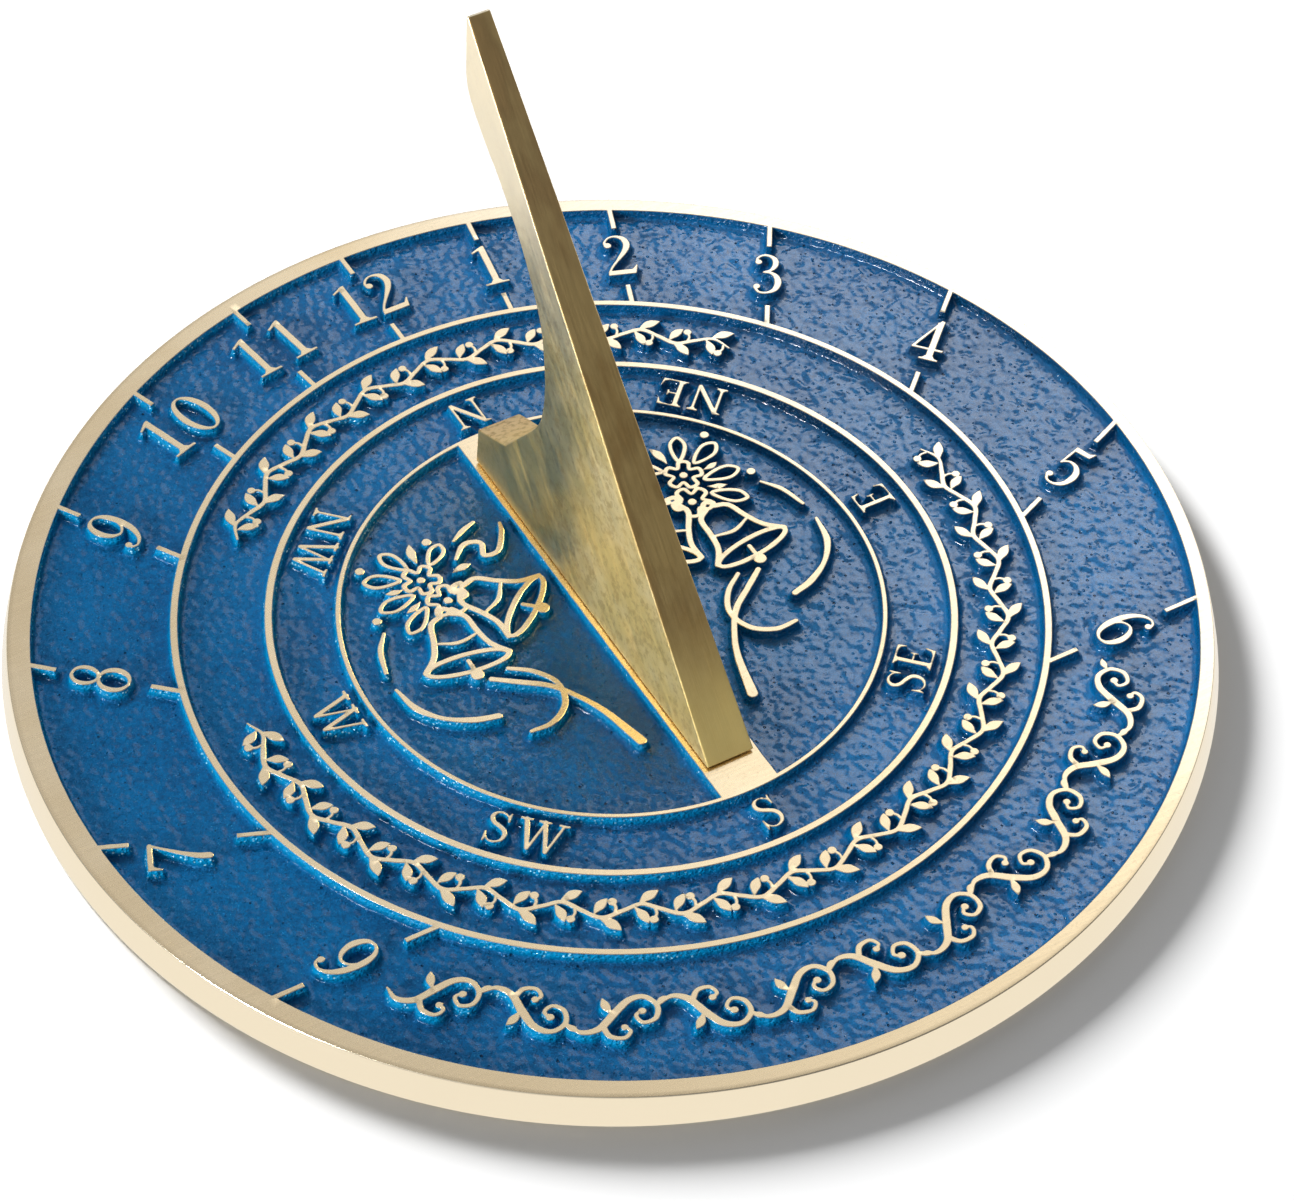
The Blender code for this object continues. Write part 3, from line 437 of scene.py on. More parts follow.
def relief():
    """All marks that stand up from the floor, apart from rings and rim."""
    marks = []
    for hour in range(-6, 7):
        marks += hour_marks(hour)
    marks += bend(scrollwork(math.radians(104) * SCROLL_R), SCROLL_R, math.pi, True)
    marks += bend(vine(math.radians(96) * VINE_R), VINE_R, 0.0, False)
    marks += bend(vine(math.radians(190) * VINE_R), VINE_R, math.pi, True)
    for i, text in enumerate(("N", "NE", "E", "SE", "S", "SW", "W", "NW")):
        angle = math.radians(45 * i)
        height = COMPASS_H * (1.12 if text == "W" else 1.04)
        marks += word(text, 120, COMPASS_R * math.sin(angle), COMPASS_R * math.cos(angle),
                      math.pi - angle, height)
    west = posy()
    marks += west + place(west, 0, 0, mirror=-1.0)
    half = STRIP_W / 2
    marks.append(poly((-half, -INNER_RING), (half, -INNER_RING), (half, INNER_RING),
                      (-half, INNER_RING)))
    return marks


# ---------------------------------------------------------------- smooth seeded noise
class Noise:
    """Value noise on a seeded lattice, about -1 to 1, one lattice step to each cell (mm)."""

    SIZE = 512

    def __init__(self, seed, cell):
        self.cell = cell
        random = np.random.default_rng(seed)
        self.grid = random.uniform(-1.0, 1.0, (self.SIZE, self.SIZE)).astype(np.float32)

    def __call__(self, x, y):
        columns, across = self.locate(x)
        rows, up = self.locate(y)
        grid, size = self.grid, self.SIZE
        left, right = columns % size, (columns + 1) % size
        low, high = rows % size, (rows + 1) % size
        return ((grid[low, left] * (1 - across) + grid[low, right] * across) * (1 - up)
                + (grid[high, left] * (1 - across) + grid[high, right] * across) * up)

    def locate(self, value):
        """Lattice index, and the eased fraction of the way to the next one."""
        scaled = np.asarray(value) / self.cell + 1000.0
        index = np.floor(scaled).astype(int)
        part = (scaled - index).astype(np.float32)
        return index, part * part * part * (part * (part * 6 - 15) + 10)


# ---------------------------------------------------------------- distance field of the metal tops
CELL = 0.125
HALF = 104.0
GRID_N = int(round(2 * HALF / CELL)) + 1
AXIS = np.linspace(-HALF, HALF, GRID_N).astype(np.float32)
GRID_X, GRID_Y = AXIS[None, :], AXIS[:, None]
FIELD = np.full((GRID_N, GRID_N), 6.0, np.float32)   # mm from the metal, negative inside it
REACH = 2.4                # how far from a mark its distance is worked out


def segment_distance(x, y, start, end):
    """Distance to a segment, and how far along it the nearest point lies (0 to 1)."""
    dx, dy = end[0] - start[0], end[1] - start[1]
    px, py = x - start[0], y - start[1]
    along = np.clip((px * dx + py * dy) / (dx * dx + dy * dy), 0.0, 1.0)
    return np.hypot(px - along * dx, py - along * dy), along


def polygon_distance(corners, x, y):
    """Distance to a polygon's outline, and whether each point lies inside."""
    nearest, inside = np.inf, False
    for k in range(len(corners)):
        (ax, ay), (bx, by) = corners[k - 1], corners[k]
        nearest = np.minimum(nearest, segment_distance(x, y, (ax, ay), (bx, by))[0])
        if abs(by - ay) > 1e-12:
            crossing = x < (bx - ax) * (y - ay) / (by - ay) + ax
            inside = inside ^ (((ay > y) != (by > y)) & crossing)
    return nearest, inside


def lower_field(x_values, y_values, pad, distance):
    """Lowers the field to distance(x, y) near the box round these coordinates."""
    spans = []
    for values in (x_values, y_values):
        low = int(max(0, (min(values) - pad - REACH + HALF) / CELL))
        high = int(min(GRID_N, (max(values) + pad + REACH + HALF) / CELL + 2))
        spans.append(slice(low, high))
    across, up = spans
    part = FIELD[up, across]
    np.minimum(part, distance(AXIS[None, across], AXIS[up, None]), out=part)


def put_stroke(points, closed):
    for k in range(0 if closed else 1, len(points)):
        start, end = points[k - 1], points[k]
        start_r, end_r = start[2] / 2, end[2] / 2

        def distance(x, y):
            away, along = segment_distance(x, y, start, end)
            return away - (start_r + (end_r - start_r) * along)

        lower_field((start[0], end[0]), (start[1], end[1]), max(start_r, end_r), distance)


def put_poly(corners):

    def distance(x, y):
        nearest, inside = polygon_distance(corners, x, y)
        return np.where(inside, -nearest, nearest)

    lower_field([c[0] for c in corners], [c[1] for c in corners], 0.0, distance)


def put_mark(mark):
    if mark[0] == "line":
        put_stroke([tuple(v * FACE_R for v in point) for point in mark[1]], mark[2])
    elif mark[0] == "dot":
        dot_x, dot_y, dot_r = (v * FACE_R for v in mark[1:])
        lower_field([dot_x], [dot_y], dot_r, lambda x, y: np.hypot(x - dot_x, y - dot_y) - dot_r)
    else:
        put_poly([(x * FACE_R, y * FACE_R) for x, y in mark[1]])


for mark in relief():
    put_mark(mark)
grid_radius = np.hypot(GRID_X, GRID_Y)
for middle, width in RINGS:
    np.minimum(FIELD, np.abs(grid_radius - middle * FACE_R) - width * FACE_R / 2, out=FIELD)
rim_distance = FACE_R + 0.15 - np.hypot(GRID_X - RIM_SHIFT[0], GRID_Y - RIM_SHIFT[1])
np.minimum(FIELD, rim_distance, out=FIELD)

# hand-cut pattern and poured metal; the turned rings and rim are more even than the small marks
wobble = 0.030 * Noise(11, 1.7)(GRID_X, GRID_Y) + 0.016 * Noise(12, 0.62)(GRID_X, GRID_Y)
turned = np.zeros(FIELD.shape, bool)
for middle, reach in ((1.0, 1.7), (OUTER_RING, 1.6), (MIDDLE_RING, 1.6), (INNER_RING, 1.4)):
    turned |= np.abs(grid_radius - middle * FACE_R) < reach
wobble *= np.where(turned, 0.45, 1.0).astype(np.float32)
FIELD += wobble
# how far the enamel creeps out at the foot of a wall
CREEP = Noise(13, 0.95)(GRID_X, GRID_Y) + 0.6 * Noise(14, 2.6)(GRID_X, GRID_Y)


def sample(grid, x, y):
    """Bilinear reading of a grid."""
    u, v = (np.asarray(x) + HALF) / CELL, (np.asarray(y) + HALF) / CELL
    u, v = np.clip(u, 0, GRID_N - 1.001), np.clip(v, 0, GRID_N - 1.001)
    i, j = u.astype(int), v.astype(int)
    across, up = u - i, v - j
    return ((grid[j, i] * (1 - across) + grid[j, i + 1] * across) * (1 - up)
            + (grid[j + 1, i] * (1 - across) + grid[j + 1, i + 1] * across) * up)


# ---------------------------------------------------------------- contours
def contour(field):
    """Closed outlines of field = 0, each an (n, 2) array in millimetres."""
    inside = field < 0
    cross_x = inside[:, :-1] != inside[:, 1:]
    cross_y = inside[:-1, :] != inside[1:, :]
    x_ids, y_ids = np.full(cross_x.shape, -1, np.int32), np.full(cross_y.shape, -1, np.int32)
    x_count = int(cross_x.sum())
    x_ids[cross_x] = np.arange(x_count)
    y_ids[cross_y] = x_count + np.arange(int(cross_y.sum()))
    j, i = np.nonzero(cross_x)
    part = field[j, i] / (field[j, i] - field[j, i + 1])
    x_points = np.stack([AXIS[i] + part * CELL, AXIS[j]], 1)
    j, i = np.nonzero(cross_y)
    part = field[j, i] / (field[j, i] - field[j + 1, i])
    y_points = np.stack([AXIS[i], AXIS[j] + part * CELL], 1)
    points = np.concatenate([x_points, y_points]).astype(float)
    # crossings on the south, east, north and west sides of each cell
    cells = np.stack([x_ids[:-1, :], y_ids[:, 1:], x_ids[1:, :], y_ids[:, :-1]], -1)
    crossings = (cells >= 0).sum(-1)
    two, four = cells[crossings == 2], cells[crossings == 4]
    j, i = np.nonzero(crossings == 4)
    middle = (field[j, i] + field[j, i + 1] + field[j + 1, i] + field[j + 1, i + 1]) < 0
    joined = (middle == inside[j, i])[:, None]   # south-west corner connects through the middle
    pairs = np.concatenate([two[two >= 0].reshape(-1, 2),
                            np.where(joined, four[:, [0, 1]], four[:, [0, 3]]),
                            np.where(joined, four[:, [2, 3]], four[:, [1, 2]])])
    # no contour reaches the grid's border, so every crossing is in exactly two pairs
    order = np.argsort(pairs.ravel(), kind="stable")
    neighbours = pairs[:, ::-1].ravel()[order].reshape(-1, 2).tolist()
    seen = [False] * len(points)
    outlines = []
    for k in range(len(points)):
        outline, current = [], k
        while not seen[current]:
            seen[current] = True
            outline.append(current)
            first, second = neighbours[current]
            current = second if seen[first] else first
        if len(outline) > 5:
            outlines.append(points[outline])
    return outlines


def thin_out(points, tolerance, longest):
    """Outline with fewer points: within tolerance of the full one, no side above longest."""
    count = len(points)
    keep = np.zeros(count, bool)
    far = int(np.argmax(np.hypot(*(points - points[0]).T)))
    keep[0] = keep[far] = True
    ring = np.concatenate([points, points[:1]])
    stack = [(0, far), (far, count)]
    while stack:
        start, end = stack.pop()
        if end - start < 2:
            continue
        side = ring[end] - ring[start]
        length = math.hypot(side[0], side[1])
        offset = ring[start + 1:end] - ring[start]
        if length < 1e-9:
            away = np.hypot(offset[:, 0], offset[:, 1])
        else:
            away = np.abs(offset[:, 0] * side[1] - offset[:, 1] * side[0]) / length
        worst = int(np.argmax(away))
        if away[worst] > tolerance:
            split = start + 1 + worst
        elif length > longest:
            split = (start + end) // 2
        else:
            continue
        keep[split % count] = True
        stack += [(start, split), (split, end)]
    return points[keep]


def closed_edges(count, first=0):
    k = np.arange(count)
    return np.stack([k, (k + 1) % count], 1) + first


def level_set(level, creep, tolerance, longest):
    """Points and edges of the outlines at one distance from the metal."""
    points, edges, count = [], [], 0
    for full in contour(FIELD - np.float32(level) - np.float32(creep) * CREEP):
        ring = thin_out(full, tolerance, longest)
        x, y = ring[:, 0], ring[:, 1]
        area = 0.5 * abs(np.sum(x * np.roll(y, -1) - y * np.roll(x, -1)))
        if len(ring) >= 4 and area > 0.02:
            points.append(ring)
            edges.append(closed_edges(len(ring), count))
            count += len(ring)
    return np.concatenate(points), np.concatenate(edges)


# ---------------------------------------------------------------- triangulation
def hexagons(spacing, seed, max_radius):
    """Jittered hexagonal lattice of points inside max_radius."""
    random = np.random.default_rng(seed)
    rows = int(2 * max_radius / (spacing * 0.866)) + 2
    columns = int(2 * max_radius / spacing) + 2
    j, i = np.mgrid[0:rows, 0:columns]
    x = (-max_radius + (i + 0.5 * (j % 2)) * spacing
         + random.uniform(-0.24, 0.24, i.shape) * spacing)
    y = -max_radius + j * spacing * 0.866 + random.uniform(-0.24, 0.24, i.shape) * spacing
    inside = np.hypot(x, y) < max_radius
    return np.stack([x[inside], y[inside]], 1)


def circle(radius, count, y=0.0):
    angle = 2 * np.pi * np.arange(count) / count
    return np.stack([radius * np.cos(angle), y + radius * np.sin(angle)], 1)


def from_screws(points):
    """Distance to the nearer screw axis."""
    return np.minimum(*(np.hypot(points[:, 0], points[:, 1] - y) for y in SCREW_Y))


def signed_area(points, faces):
    a, b, c = (points[faces[:, k]] for k in range(3))
    return 0.5 * ((b[:, 0] - a[:, 0]) * (c[:, 1] - a[:, 1])
                  - (b[:, 1] - a[:, 1]) * (c[:, 0] - a[:, 0]))


def face_edges(faces):
    return np.concatenate([faces[:, [0, 1]], faces[:, [1, 2]], faces[:, [2, 0]]])


def triangulate(points, edges, barrier_count):
    """Constrained Delaunay triangulation. Returns points, counter-clockwise triangles, a label for
    each triangle and where each given point went. Triangles share a label when they connect
    without crossing one of the first barrier_count edges."""
    vertices = [Vector((float(x), float(y))) for x, y in points]
    edge_list = [tuple(map(int, e)) for e in edges]
    made = delaunay_2d_cdt(vertices, edge_list, [], 0, 1e-5, True)
    made_vertices, made_edges, made_faces, vertex_sources, edge_sources, _ = made
    new_points = np.array([(v.x, v.y) for v in made_vertices])
    faces = np.array(made_faces, dtype=np.int64)
    where = np.full(len(points), -1, np.int64)
    for k, sources in enumerate(vertex_sources):
        for source in sources:
            where[source] = k
    clockwise = signed_area(new_points, faces) < 0
    faces[clockwise] = faces[clockwise][:, ::-1]
    count = len(new_points)
    barriers = np.array([min(e) * count + max(e) for e, sources in zip(made_edges, edge_sources)
                         if sources and min(sources) < barrier_count], dtype=np.int64)
    ends = face_edges(faces)
    owner = np.tile(np.arange(len(faces)), 3)
    key = ends.min(1) * count + ends.max(1)
    order = np.argsort(key, kind="stable")
    key, owner = key[order], owner[order]
    shared = np.nonzero(key[1:] == key[:-1])[0]
    shared = shared[~np.isin(key[shared], barriers)]
    one, other = owner[shared], owner[shared + 1]
    label = np.arange(len(faces))
    while True:
        low = np.minimum(label[one], label[other])
        new = label.copy()
        for target in (one, other, label[one], label[other]):
            np.minimum.at(new, target, low)
        new = new[new]
        new = new[new]
        if np.array_equal(new, label):
            return new_points, faces, label, where
        label = new


def label_means(label, weight, value):
    count = int(label.max()) + 1
    total = np.bincount(label, weight * value, count)
    return total / np.maximum(np.bincount(label, weight, count), 1e-12)


class Layout:
    """Points, fixed edges and heights gathered for one triangulation."""

    def __init__(self):
        self.points, self.edges, self.heights, self.count = [], [], [], 0

    def add(self, points, height=0.0, edges=None):
        if edges is not None:
            self.edges.append(edges + self.count)
        self.points.append(points)
        self.heights.append(np.full(len(points), height))
        self.count += len(points)

    def add_ring(self, points, height=0.0):
        self.add(points, height, closed_edges(len(points)))

    def triangulate(self, barrier_count):
        return triangulate(np.concatenate(self.points), np.concatenate(self.edges), barrier_count)


class Sheet:
    """A triangulated layout of the dial's face, its triangles sorted into metal and fill."""

    def __init__(self, layout):
        self.points, self.faces, label, self.where = layout.triangulate(BARRIER_COUNT)
        self.middle = sum(self.points[self.faces[:, k]] for k in range(3)) / 3
        x, y = self.middle.T
        distance = np.where(np.hypot(x, y) > FACE_R + 1.2, -3.0, sample(FIELD, x, y))
        area = np.abs(signed_area(self.points, self.faces))
        mean = label_means(label, area, distance)[label]
        in_hole = from_screws(self.middle) < HOLE_R
        self.metal = (mean < 0) & ~in_hole
        self.fill = (mean >= 0) & ~in_hole


# surface height by distance from the metal's edge: distance, creep, height, longest side
TOP_LEVEL = (-0.11, 0.0, 6.500, 1.3)
EDGE_LEVEL = (0.0, 0.0, 6.425, 0.85)
WALL_LEVELS = [(0.11, 0.010, 5.86, 0.75), (0.30, 0.030, 5.20, 0.70), (0.56, 0.060, 4.80, 0.70),
               (0.92, 0.090, 4.60, 0.70)]
LEVELS = [TOP_LEVEL, EDGE_LEVEL] + WALL_LEVELS
FOOT_DISTANCE, FOOT_CREEP = WALL_LEVELS[-1][:2]
RIM_N = 720
HOLE_N = 40
EDGE_POINTS, EDGE_EDGES = level_set(EDGE_LEVEL[0], EDGE_LEVEL[1], 0.010, EDGE_LEVEL[3])
EDGE_N = len(EDGE_POINTS)
SHARED_N = EDGE_N + 2 * HOLE_N           # points that both sheets have
BARRIER_COUNT = len(EDGE_EDGES) + 2 * HOLE_N


def shared_layout():
    """What both sheets start from: metal edges, screw holes, outer ring of the rim's top."""
    layout = Layout()
    layout.add(EDGE_POINTS, EDGE_LEVEL[2], EDGE_EDGES)
    for y in SCREW_Y:
        layout.add_ring(circle(HOLE_R, HOLE_N, y), PLATE_H)
    layout.add_ring(circle(RIM_FLAT_R, RIM_N), PLATE_H)
    return layout


def fine_sheet():
    """Everything seen from above. Returns the sheet and the heights of its points."""
    layout = shared_layout()
    for level, creep, height, longest in [TOP_LEVEL] + WALL_LEVELS:
        points, edges = level_set(level, creep, 0.012, longest)
        layout.add(points, height, edges)
    for offset in (1.7, 2.5):
        layout.add(circle(FACE_R + offset, 420), PLATE_H)
    floor_points = hexagons(0.47, 21, FACE_R + 0.5)
    x, y = floor_points.T
    beyond = sample(FIELD, x, y) - FOOT_DISTANCE - FOOT_CREEP * sample(CREEP, x, y)
    layout.add(floor_points[beyond > 0.20], ENAMEL_FLOOR)
    top_points = hexagons(1.5, 22, FACE_R + 0.9)
    on_metal = sample(FIELD, top_points[:, 0], top_points[:, 1]) < -0.35
    layout.add(top_points[on_metal & (from_screws(top_points) > HOLE_R + 0.4)], PLATE_H)
    sheet = Sheet(layout)
    heights = np.full(len(sheet.points), np.nan)
    heights[sheet.where] = np.concatenate(layout.heights)
    # points made where outlines cross
    stray = np.isnan(heights)
    distance = sample(FIELD, sheet.points[stray, 0], sheet.points[stray, 1])
    heights[stray] = np.interp(distance, [row[0] for row in LEVELS] + [1.5],
                               [row[2] for row in LEVELS] + [ENAMEL_FLOOR])
    return sheet, heights


def roughen_enamel(points, heights):
    """Meniscus against the walls, and the grain of the sand casting showing on the floor."""
    x, y = points.T
    distance = sample(FIELD, x, y)
    floor_share = np.clip((distance - 0.25) / 0.9, 0.0, 1.0)
    meniscus = 0.10 * np.exp(-np.clip(distance - FOOT_DISTANCE, 0, None) / 0.5)
    east = np.clip(0.5 + x / 150.0, 0.0, 1.0)    # thicker and more pitted towards the east
    grain = ((0.075 + 0.030 * east) * Noise(31, 0.90)(x, y) + 0.080 * Noise(32, 1.5)(x, y)
             + 0.050 * Noise(33, 3.4)(x, y) + 0.05 * Noise(34, 11.0)(x, y))
    pits = -(0.10 + 0.16 * east) * np.clip(Noise(35, 1.15)(x, y) - 0.50, 0, None) / 0.50
    bumps = 0.19 * np.clip(Noise(36, 1.05)(x, y) - 0.50, 0, None) / 0.50
    near_wall = np.clip(distance / 0.12, 0, 1) * (1 - floor_share)
    runs = 0.15 * Noise(37, 0.8)(x, y) * near_wall
    on_floor = heights <= ENAMEL_FLOOR + 1e-6
    rough = (heights + np.where(on_floor, meniscus, 0.0)
             + floor_share * (grain + pits + bumps) + runs)
    return np.where(heights < 6.0, rough, heights)


def coarse_sheet():
    """The casting's floor, which is also the enamel's foot, on the same shared lines."""
    layout = shared_layout()
    points = hexagons(3.0, 23, FACE_R + 0.5)
    layout.add(points[sample(FIELD, points[:, 0], points[:, 1]) > 0.6])
    return Sheet(layout)


FINE, flat_heights = fine_sheet()
FINE_XYZ = np.column_stack([FINE.points, roughen_enamel(FINE.points, flat_heights)])
COARSE = coarse_sheet()
# for each fine point on a shared line, its number among the coarse points
TWIN = np.full(len(FINE.points), -1, np.int64)
TWIN[FINE.where[:SHARED_N]] = COARSE.where[:SHARED_N]


# ---------------------------------------------------------------- mesh helpers
def border(faces):
    """Directed edges that only one of these triangles has."""
    ends = face_edges(faces)
    count = int(faces.max()) + 1
    key, back = ends[:, 0] * count + ends[:, 1], ends[:, 1] * count + ends[:, 0]
    return ends[~np.isin(key, back)]


def at_height(points, z):
    return np.column_stack([points, np.full(len(points), z)])


class MeshBuilder:
    """Collects the vertices (millimetres) and faces of one mesh."""

    def __init__(self):
        self.vertices, self.polygons, self.count = [], [], 0

    def add(self, xyz):
        """Adds vertices and returns their numbers."""
        self.vertices.append(np.asarray(xyz, float))
        self.count += len(xyz)
        return np.arange(self.count - len(xyz), self.count)

    def faces(self, faces):
        self.polygons.append(np.asarray(faces, np.int64))

    def join(self, rings):
        """Quads between each closed ring and the next."""
        for low, high in zip(rings, rings[1:]):
            self.faces(np.column_stack([low, np.roll(low, -1), np.roll(high, -1), high]))

    def walls(self, edges, top_ids, foot_ids):
        """Quads from fine edges down to their coarse twins."""
        start, end = edges.T
        self.faces(np.column_stack([top_ids[end], top_ids[start],
                                    foot_ids[TWIN[start]], foot_ids[TWIN[end]]]))

    def sheath(self, ring, rows, y=0.0, flip=False):
        """Rings (radius, z) below a known ring, faces outwards (inwards when flipped)."""
        for radius, z in rows:
            lower = self.add(at_height(circle(radius, len(ring), y), z))
            quads = np.column_stack([np.roll(ring, -1), ring, lower, np.roll(lower, -1)])
            self.faces(quads[:, ::-1] if flip else quads)
            ring = lower
        return ring

    def mesh(self, name):
        """Mesh in metres, without the vertices that no face uses."""
        vertices = np.concatenate(self.vertices) * MM
        used = np.unique(np.concatenate([f.ravel() for f in self.polygons]))
        renumber = np.full(len(vertices), -1, np.int64)
        renumber[used] = np.arange(len(used))
        corners = np.concatenate([renumber[f].ravel() for f in self.polygons])
        sizes = np.concatenate([np.full(len(f), f.shape[1]) for f in self.polygons])
        mesh = bpy.data.meshes.new(name)
        mesh.vertices.add(len(used))
        mesh.vertices.foreach_set("co", vertices[used].astype(np.float32).ravel())
        mesh.loops.add(len(corners))
        mesh.loops.foreach_set("vertex_index", corners.astype(np.int32))
        mesh.polygons.add(len(sizes))
        starts = np.r_[0, np.cumsum(sizes)[:-1]]
        mesh.polygons.foreach_set("loop_start", starts.astype(np.int32))
        mesh.polygons.foreach_set("loop_total", sizes.astype(np.int32))
        mesh.update(calc_edges=True)
        mesh.validate()
        return mesh


def new_object(name, data):
    thing = bpy.data.objects.new(name, data)
    bpy.context.scene.collection.objects.link(thing)
    return thing


def shade(thing, sharp_angle=None):
    """Smooth shading, with edges above sharp_angle (degrees) kept sharp."""
    thing.data.shade_smooth()
    if sharp_angle is not None:
        thing.data.set_sharp_from_angle(angle=math.radians(sharp_angle))
    return thing


def mesh_from(shape, name):
    """Turns a bmesh into a mesh and frees it."""
    mesh = bpy.data.meshes.new(name)
    shape.to_mesh(mesh)
    shape.free()
    return mesh


# ---------------------------------------------------------------- enamel
# piece, CAD node, inner and outer radius (face radii), side in x (0 = both)
ENAMEL_ZONES = (
    ("enamel_fill_hours", "enamel_hour_band", OUTER_RING, math.inf, 0),
    ("enamel_fill_ornament", "enamel_ornament_band", MIDDLE_RING, OUTER_RING, 0),
    ("enamel_fill_compass", "enamel_compass_band", INNER_RING, MIDDLE_RING, 0),
    ("enamel_fill_west", "enamel_west_half", 0.0, INNER_RING, -1),
    ("enamel_fill_east", "enamel_east_half", 0.0, INNER_RING, 1))


def zone_faces(sheet, inner, outer, side):
    """Fill triangles of a sheet that lie in one zone."""
    x, y = sheet.middle.T
    radius = np.hypot(x, y)
    inside = (radius > inner * FACE_R) & (radius < outer * FACE_R)
    return sheet.faces[sheet.fill & inside & ((side == 0) | (side * x > 0))]


def enamel_piece(name, *zone):
    builder = MeshBuilder()
    top = zone_faces(FINE, *zone)
    top_ids = builder.add(FINE_XYZ)
    foot_ids = builder.add(at_height(COARSE.points, ENAMEL_FOOT))
    builder.faces(top_ids[top])
    builder.faces(foot_ids[zone_faces(COARSE, *zone)[:, ::-1]])
    builder.walls(border(top), top_ids, foot_ids)
    return shade(new_object(name, builder.mesh(name)), 62)


enamel = [enamel_piece(name, *zone) for name, _, *zone in ENAMEL_ZONES]

# ---------------------------------------------------------------- casting
# outside of the plate, top to bottom: offset from RIM_R or from PLATE_R, z
RIM_SIDE = ((-0.12, 6.478), (-0.03, 6.42), (0.04, 6.32), (0.12, 6.10), (0.42, 4.95), (0.74, 3.70),
            (1.04, 2.45), (1.26, 1.40))
PLATE_SIDE = ((-0.03, 0.95), (0.0, 0.72), (-0.04, 0.50), (-0.18, 0.28), (-0.42, 0.10),
              (-0.80, 0.0))


def add_underside(builder, foot, hole_feet):
    """Flat underside between the foot of the side and the feet of the screw holes."""
    layout = Layout()
    layout.add_ring(circle(PLATE_R + PLATE_SIDE[-1][0], RIM_N))
    for y in SCREW_Y:
        layout.add_ring(circle(SINK_R, HOLE_N, y))
    inner = hexagons(5.0, 24, PLATE_R - 2.5)
    layout.add(inner[from_screws(inner) >= SCREW_HEAD_R + 2.5])
    points, faces, label, where = layout.triangulate(RIM_N + 2 * HOLE_N)
    away = from_screws(points[faces].mean(1))
    keep = label_means(label, np.ones(len(faces)), away)[label] > SINK_R
    ids = builder.add(at_height(points, 0.0))
    borders = np.concatenate([foot] + hole_feet)
    ids[where[:len(borders)]] = borders
    builder.faces(ids[faces[keep]][:, ::-1])


def make_casting():
    """One closed skin: tops, walls, floor, screw holes, side and underside."""
    builder = MeshBuilder()
    top_ids = builder.add(FINE_XYZ)
    floor_ids = builder.add(at_height(COARSE.points, CAST_FLOOR))
    top = FINE.faces[FINE.metal]
    builder.faces(top_ids[top])
    builder.faces(floor_ids[COARSE.faces[COARSE.fill]])
    is_edge = np.zeros(len(FINE.points), bool)
    is_edge[FINE.where[:EDGE_N]] = True
    outline = border(top)
    builder.walls(outline[is_edge[outline].all(1)], top_ids, floor_ids)
    side = [(RIM_R + out, z) for out, z in RIM_SIDE] + [(PLATE_R + out, z) for out, z in PLATE_SIDE]
    foot = builder.sheath(top_ids[FINE.where[SHARED_N:SHARED_N + RIM_N]], side)
    hole_rows = [(HOLE_R, SINK_Z + SCREW_HEAD_H + 0.12), (SINK_R, SINK_Z), (SINK_R, 0.0)]
    hole_feet = []
    for k, y in enumerate(SCREW_Y):
        first = EDGE_N + k * HOLE_N
        ring = top_ids[FINE.where[first:first + HOLE_N]]
        hole_feet.append(builder.sheath(ring, hole_rows, y, flip=True))
    add_underside(builder, foot, hole_feet)
    return shade(new_object("dial_casting", builder.mesh("dial_casting")), 24)


dial = make_casting()

# ---------------------------------------------------------------- gnomon
# swept back edge from the heel up to below the nose: y, z above the tops, in face radii
BACK_EDGE = [
    (0.3085, 0.1320), (0.2490, 0.2070), (0.2060, 0.2630), (0.1870, 0.3000), (0.1788, 0.3320),
    (0.1752, 0.3700), (0.1775, 0.4200), (0.1855, 0.4750), (0.1960, 0.5150), (0.2120, 0.5490),
    (0.2364, 0.5900), (0.2590, 0.6230), (0.2860, 0.6560), (0.3130, 0.6830), (0.3500, 0.7190),
    (0.3850, 0.7480), (0.4160, 0.7770), (0.4420, 0.8060), (0.4545, 0.8290), (0.4597, 0.8560)]
HEEL_BASE_Y, HEEL_TOP = 0.4130, (0.4080, 0.0840)


def half_thickness(z):
    return GNOMON_HALF_BASE + (GNOMON_HALF_TIP - GNOMON_HALF_BASE) * z / (TIP_Z * FACE_R)


def rounded(corners, step):
    """Closed outline through (y, z, radius) corners, eased by arcs, sides about step long."""
    points = []
    count = len(corners)
    for i in range(count):
        radius = corners[i][2]
        before, corner, after = (np.array(corners[(i + k) % count][:2], float) for k in (-1, 0, 1))
        if not radius:
            points.append(corner)
            continue
        back = (before - corner) / np.linalg.norm(before - corner)
        ahead = (after - corner) / np.linalg.norm(after - corner)
        half = math.acos(float(back @ ahead)) / 2
        tangent = radius / math.tan(half)
        bisector = (back + ahead) / np.linalg.norm(back + ahead)
        centre = corner + bisector * radius / math.sin(half)
        start, end = corner + back * tangent - centre, corner + ahead * tangent - centre
        turn = math.acos(float(start @ end) / (radius * radius))
        steps = max(3, int(round(turn / 0.4)))
        for j in range(steps + 1):
            t = j / steps
            arc = start * math.sin((1 - t) * turn) + end * math.sin(t * turn)
            points.append(centre + arc / math.sin(turn))
    outline = []
    for i, start in enumerate(points):
        end = points[(i + 1) % len(points)]
        steps = max(1, int(round(np.linalg.norm(end - start) / step)))
        outline += [start + (end - start) * j / steps for j in range(steps)]
    return np.array(outline)


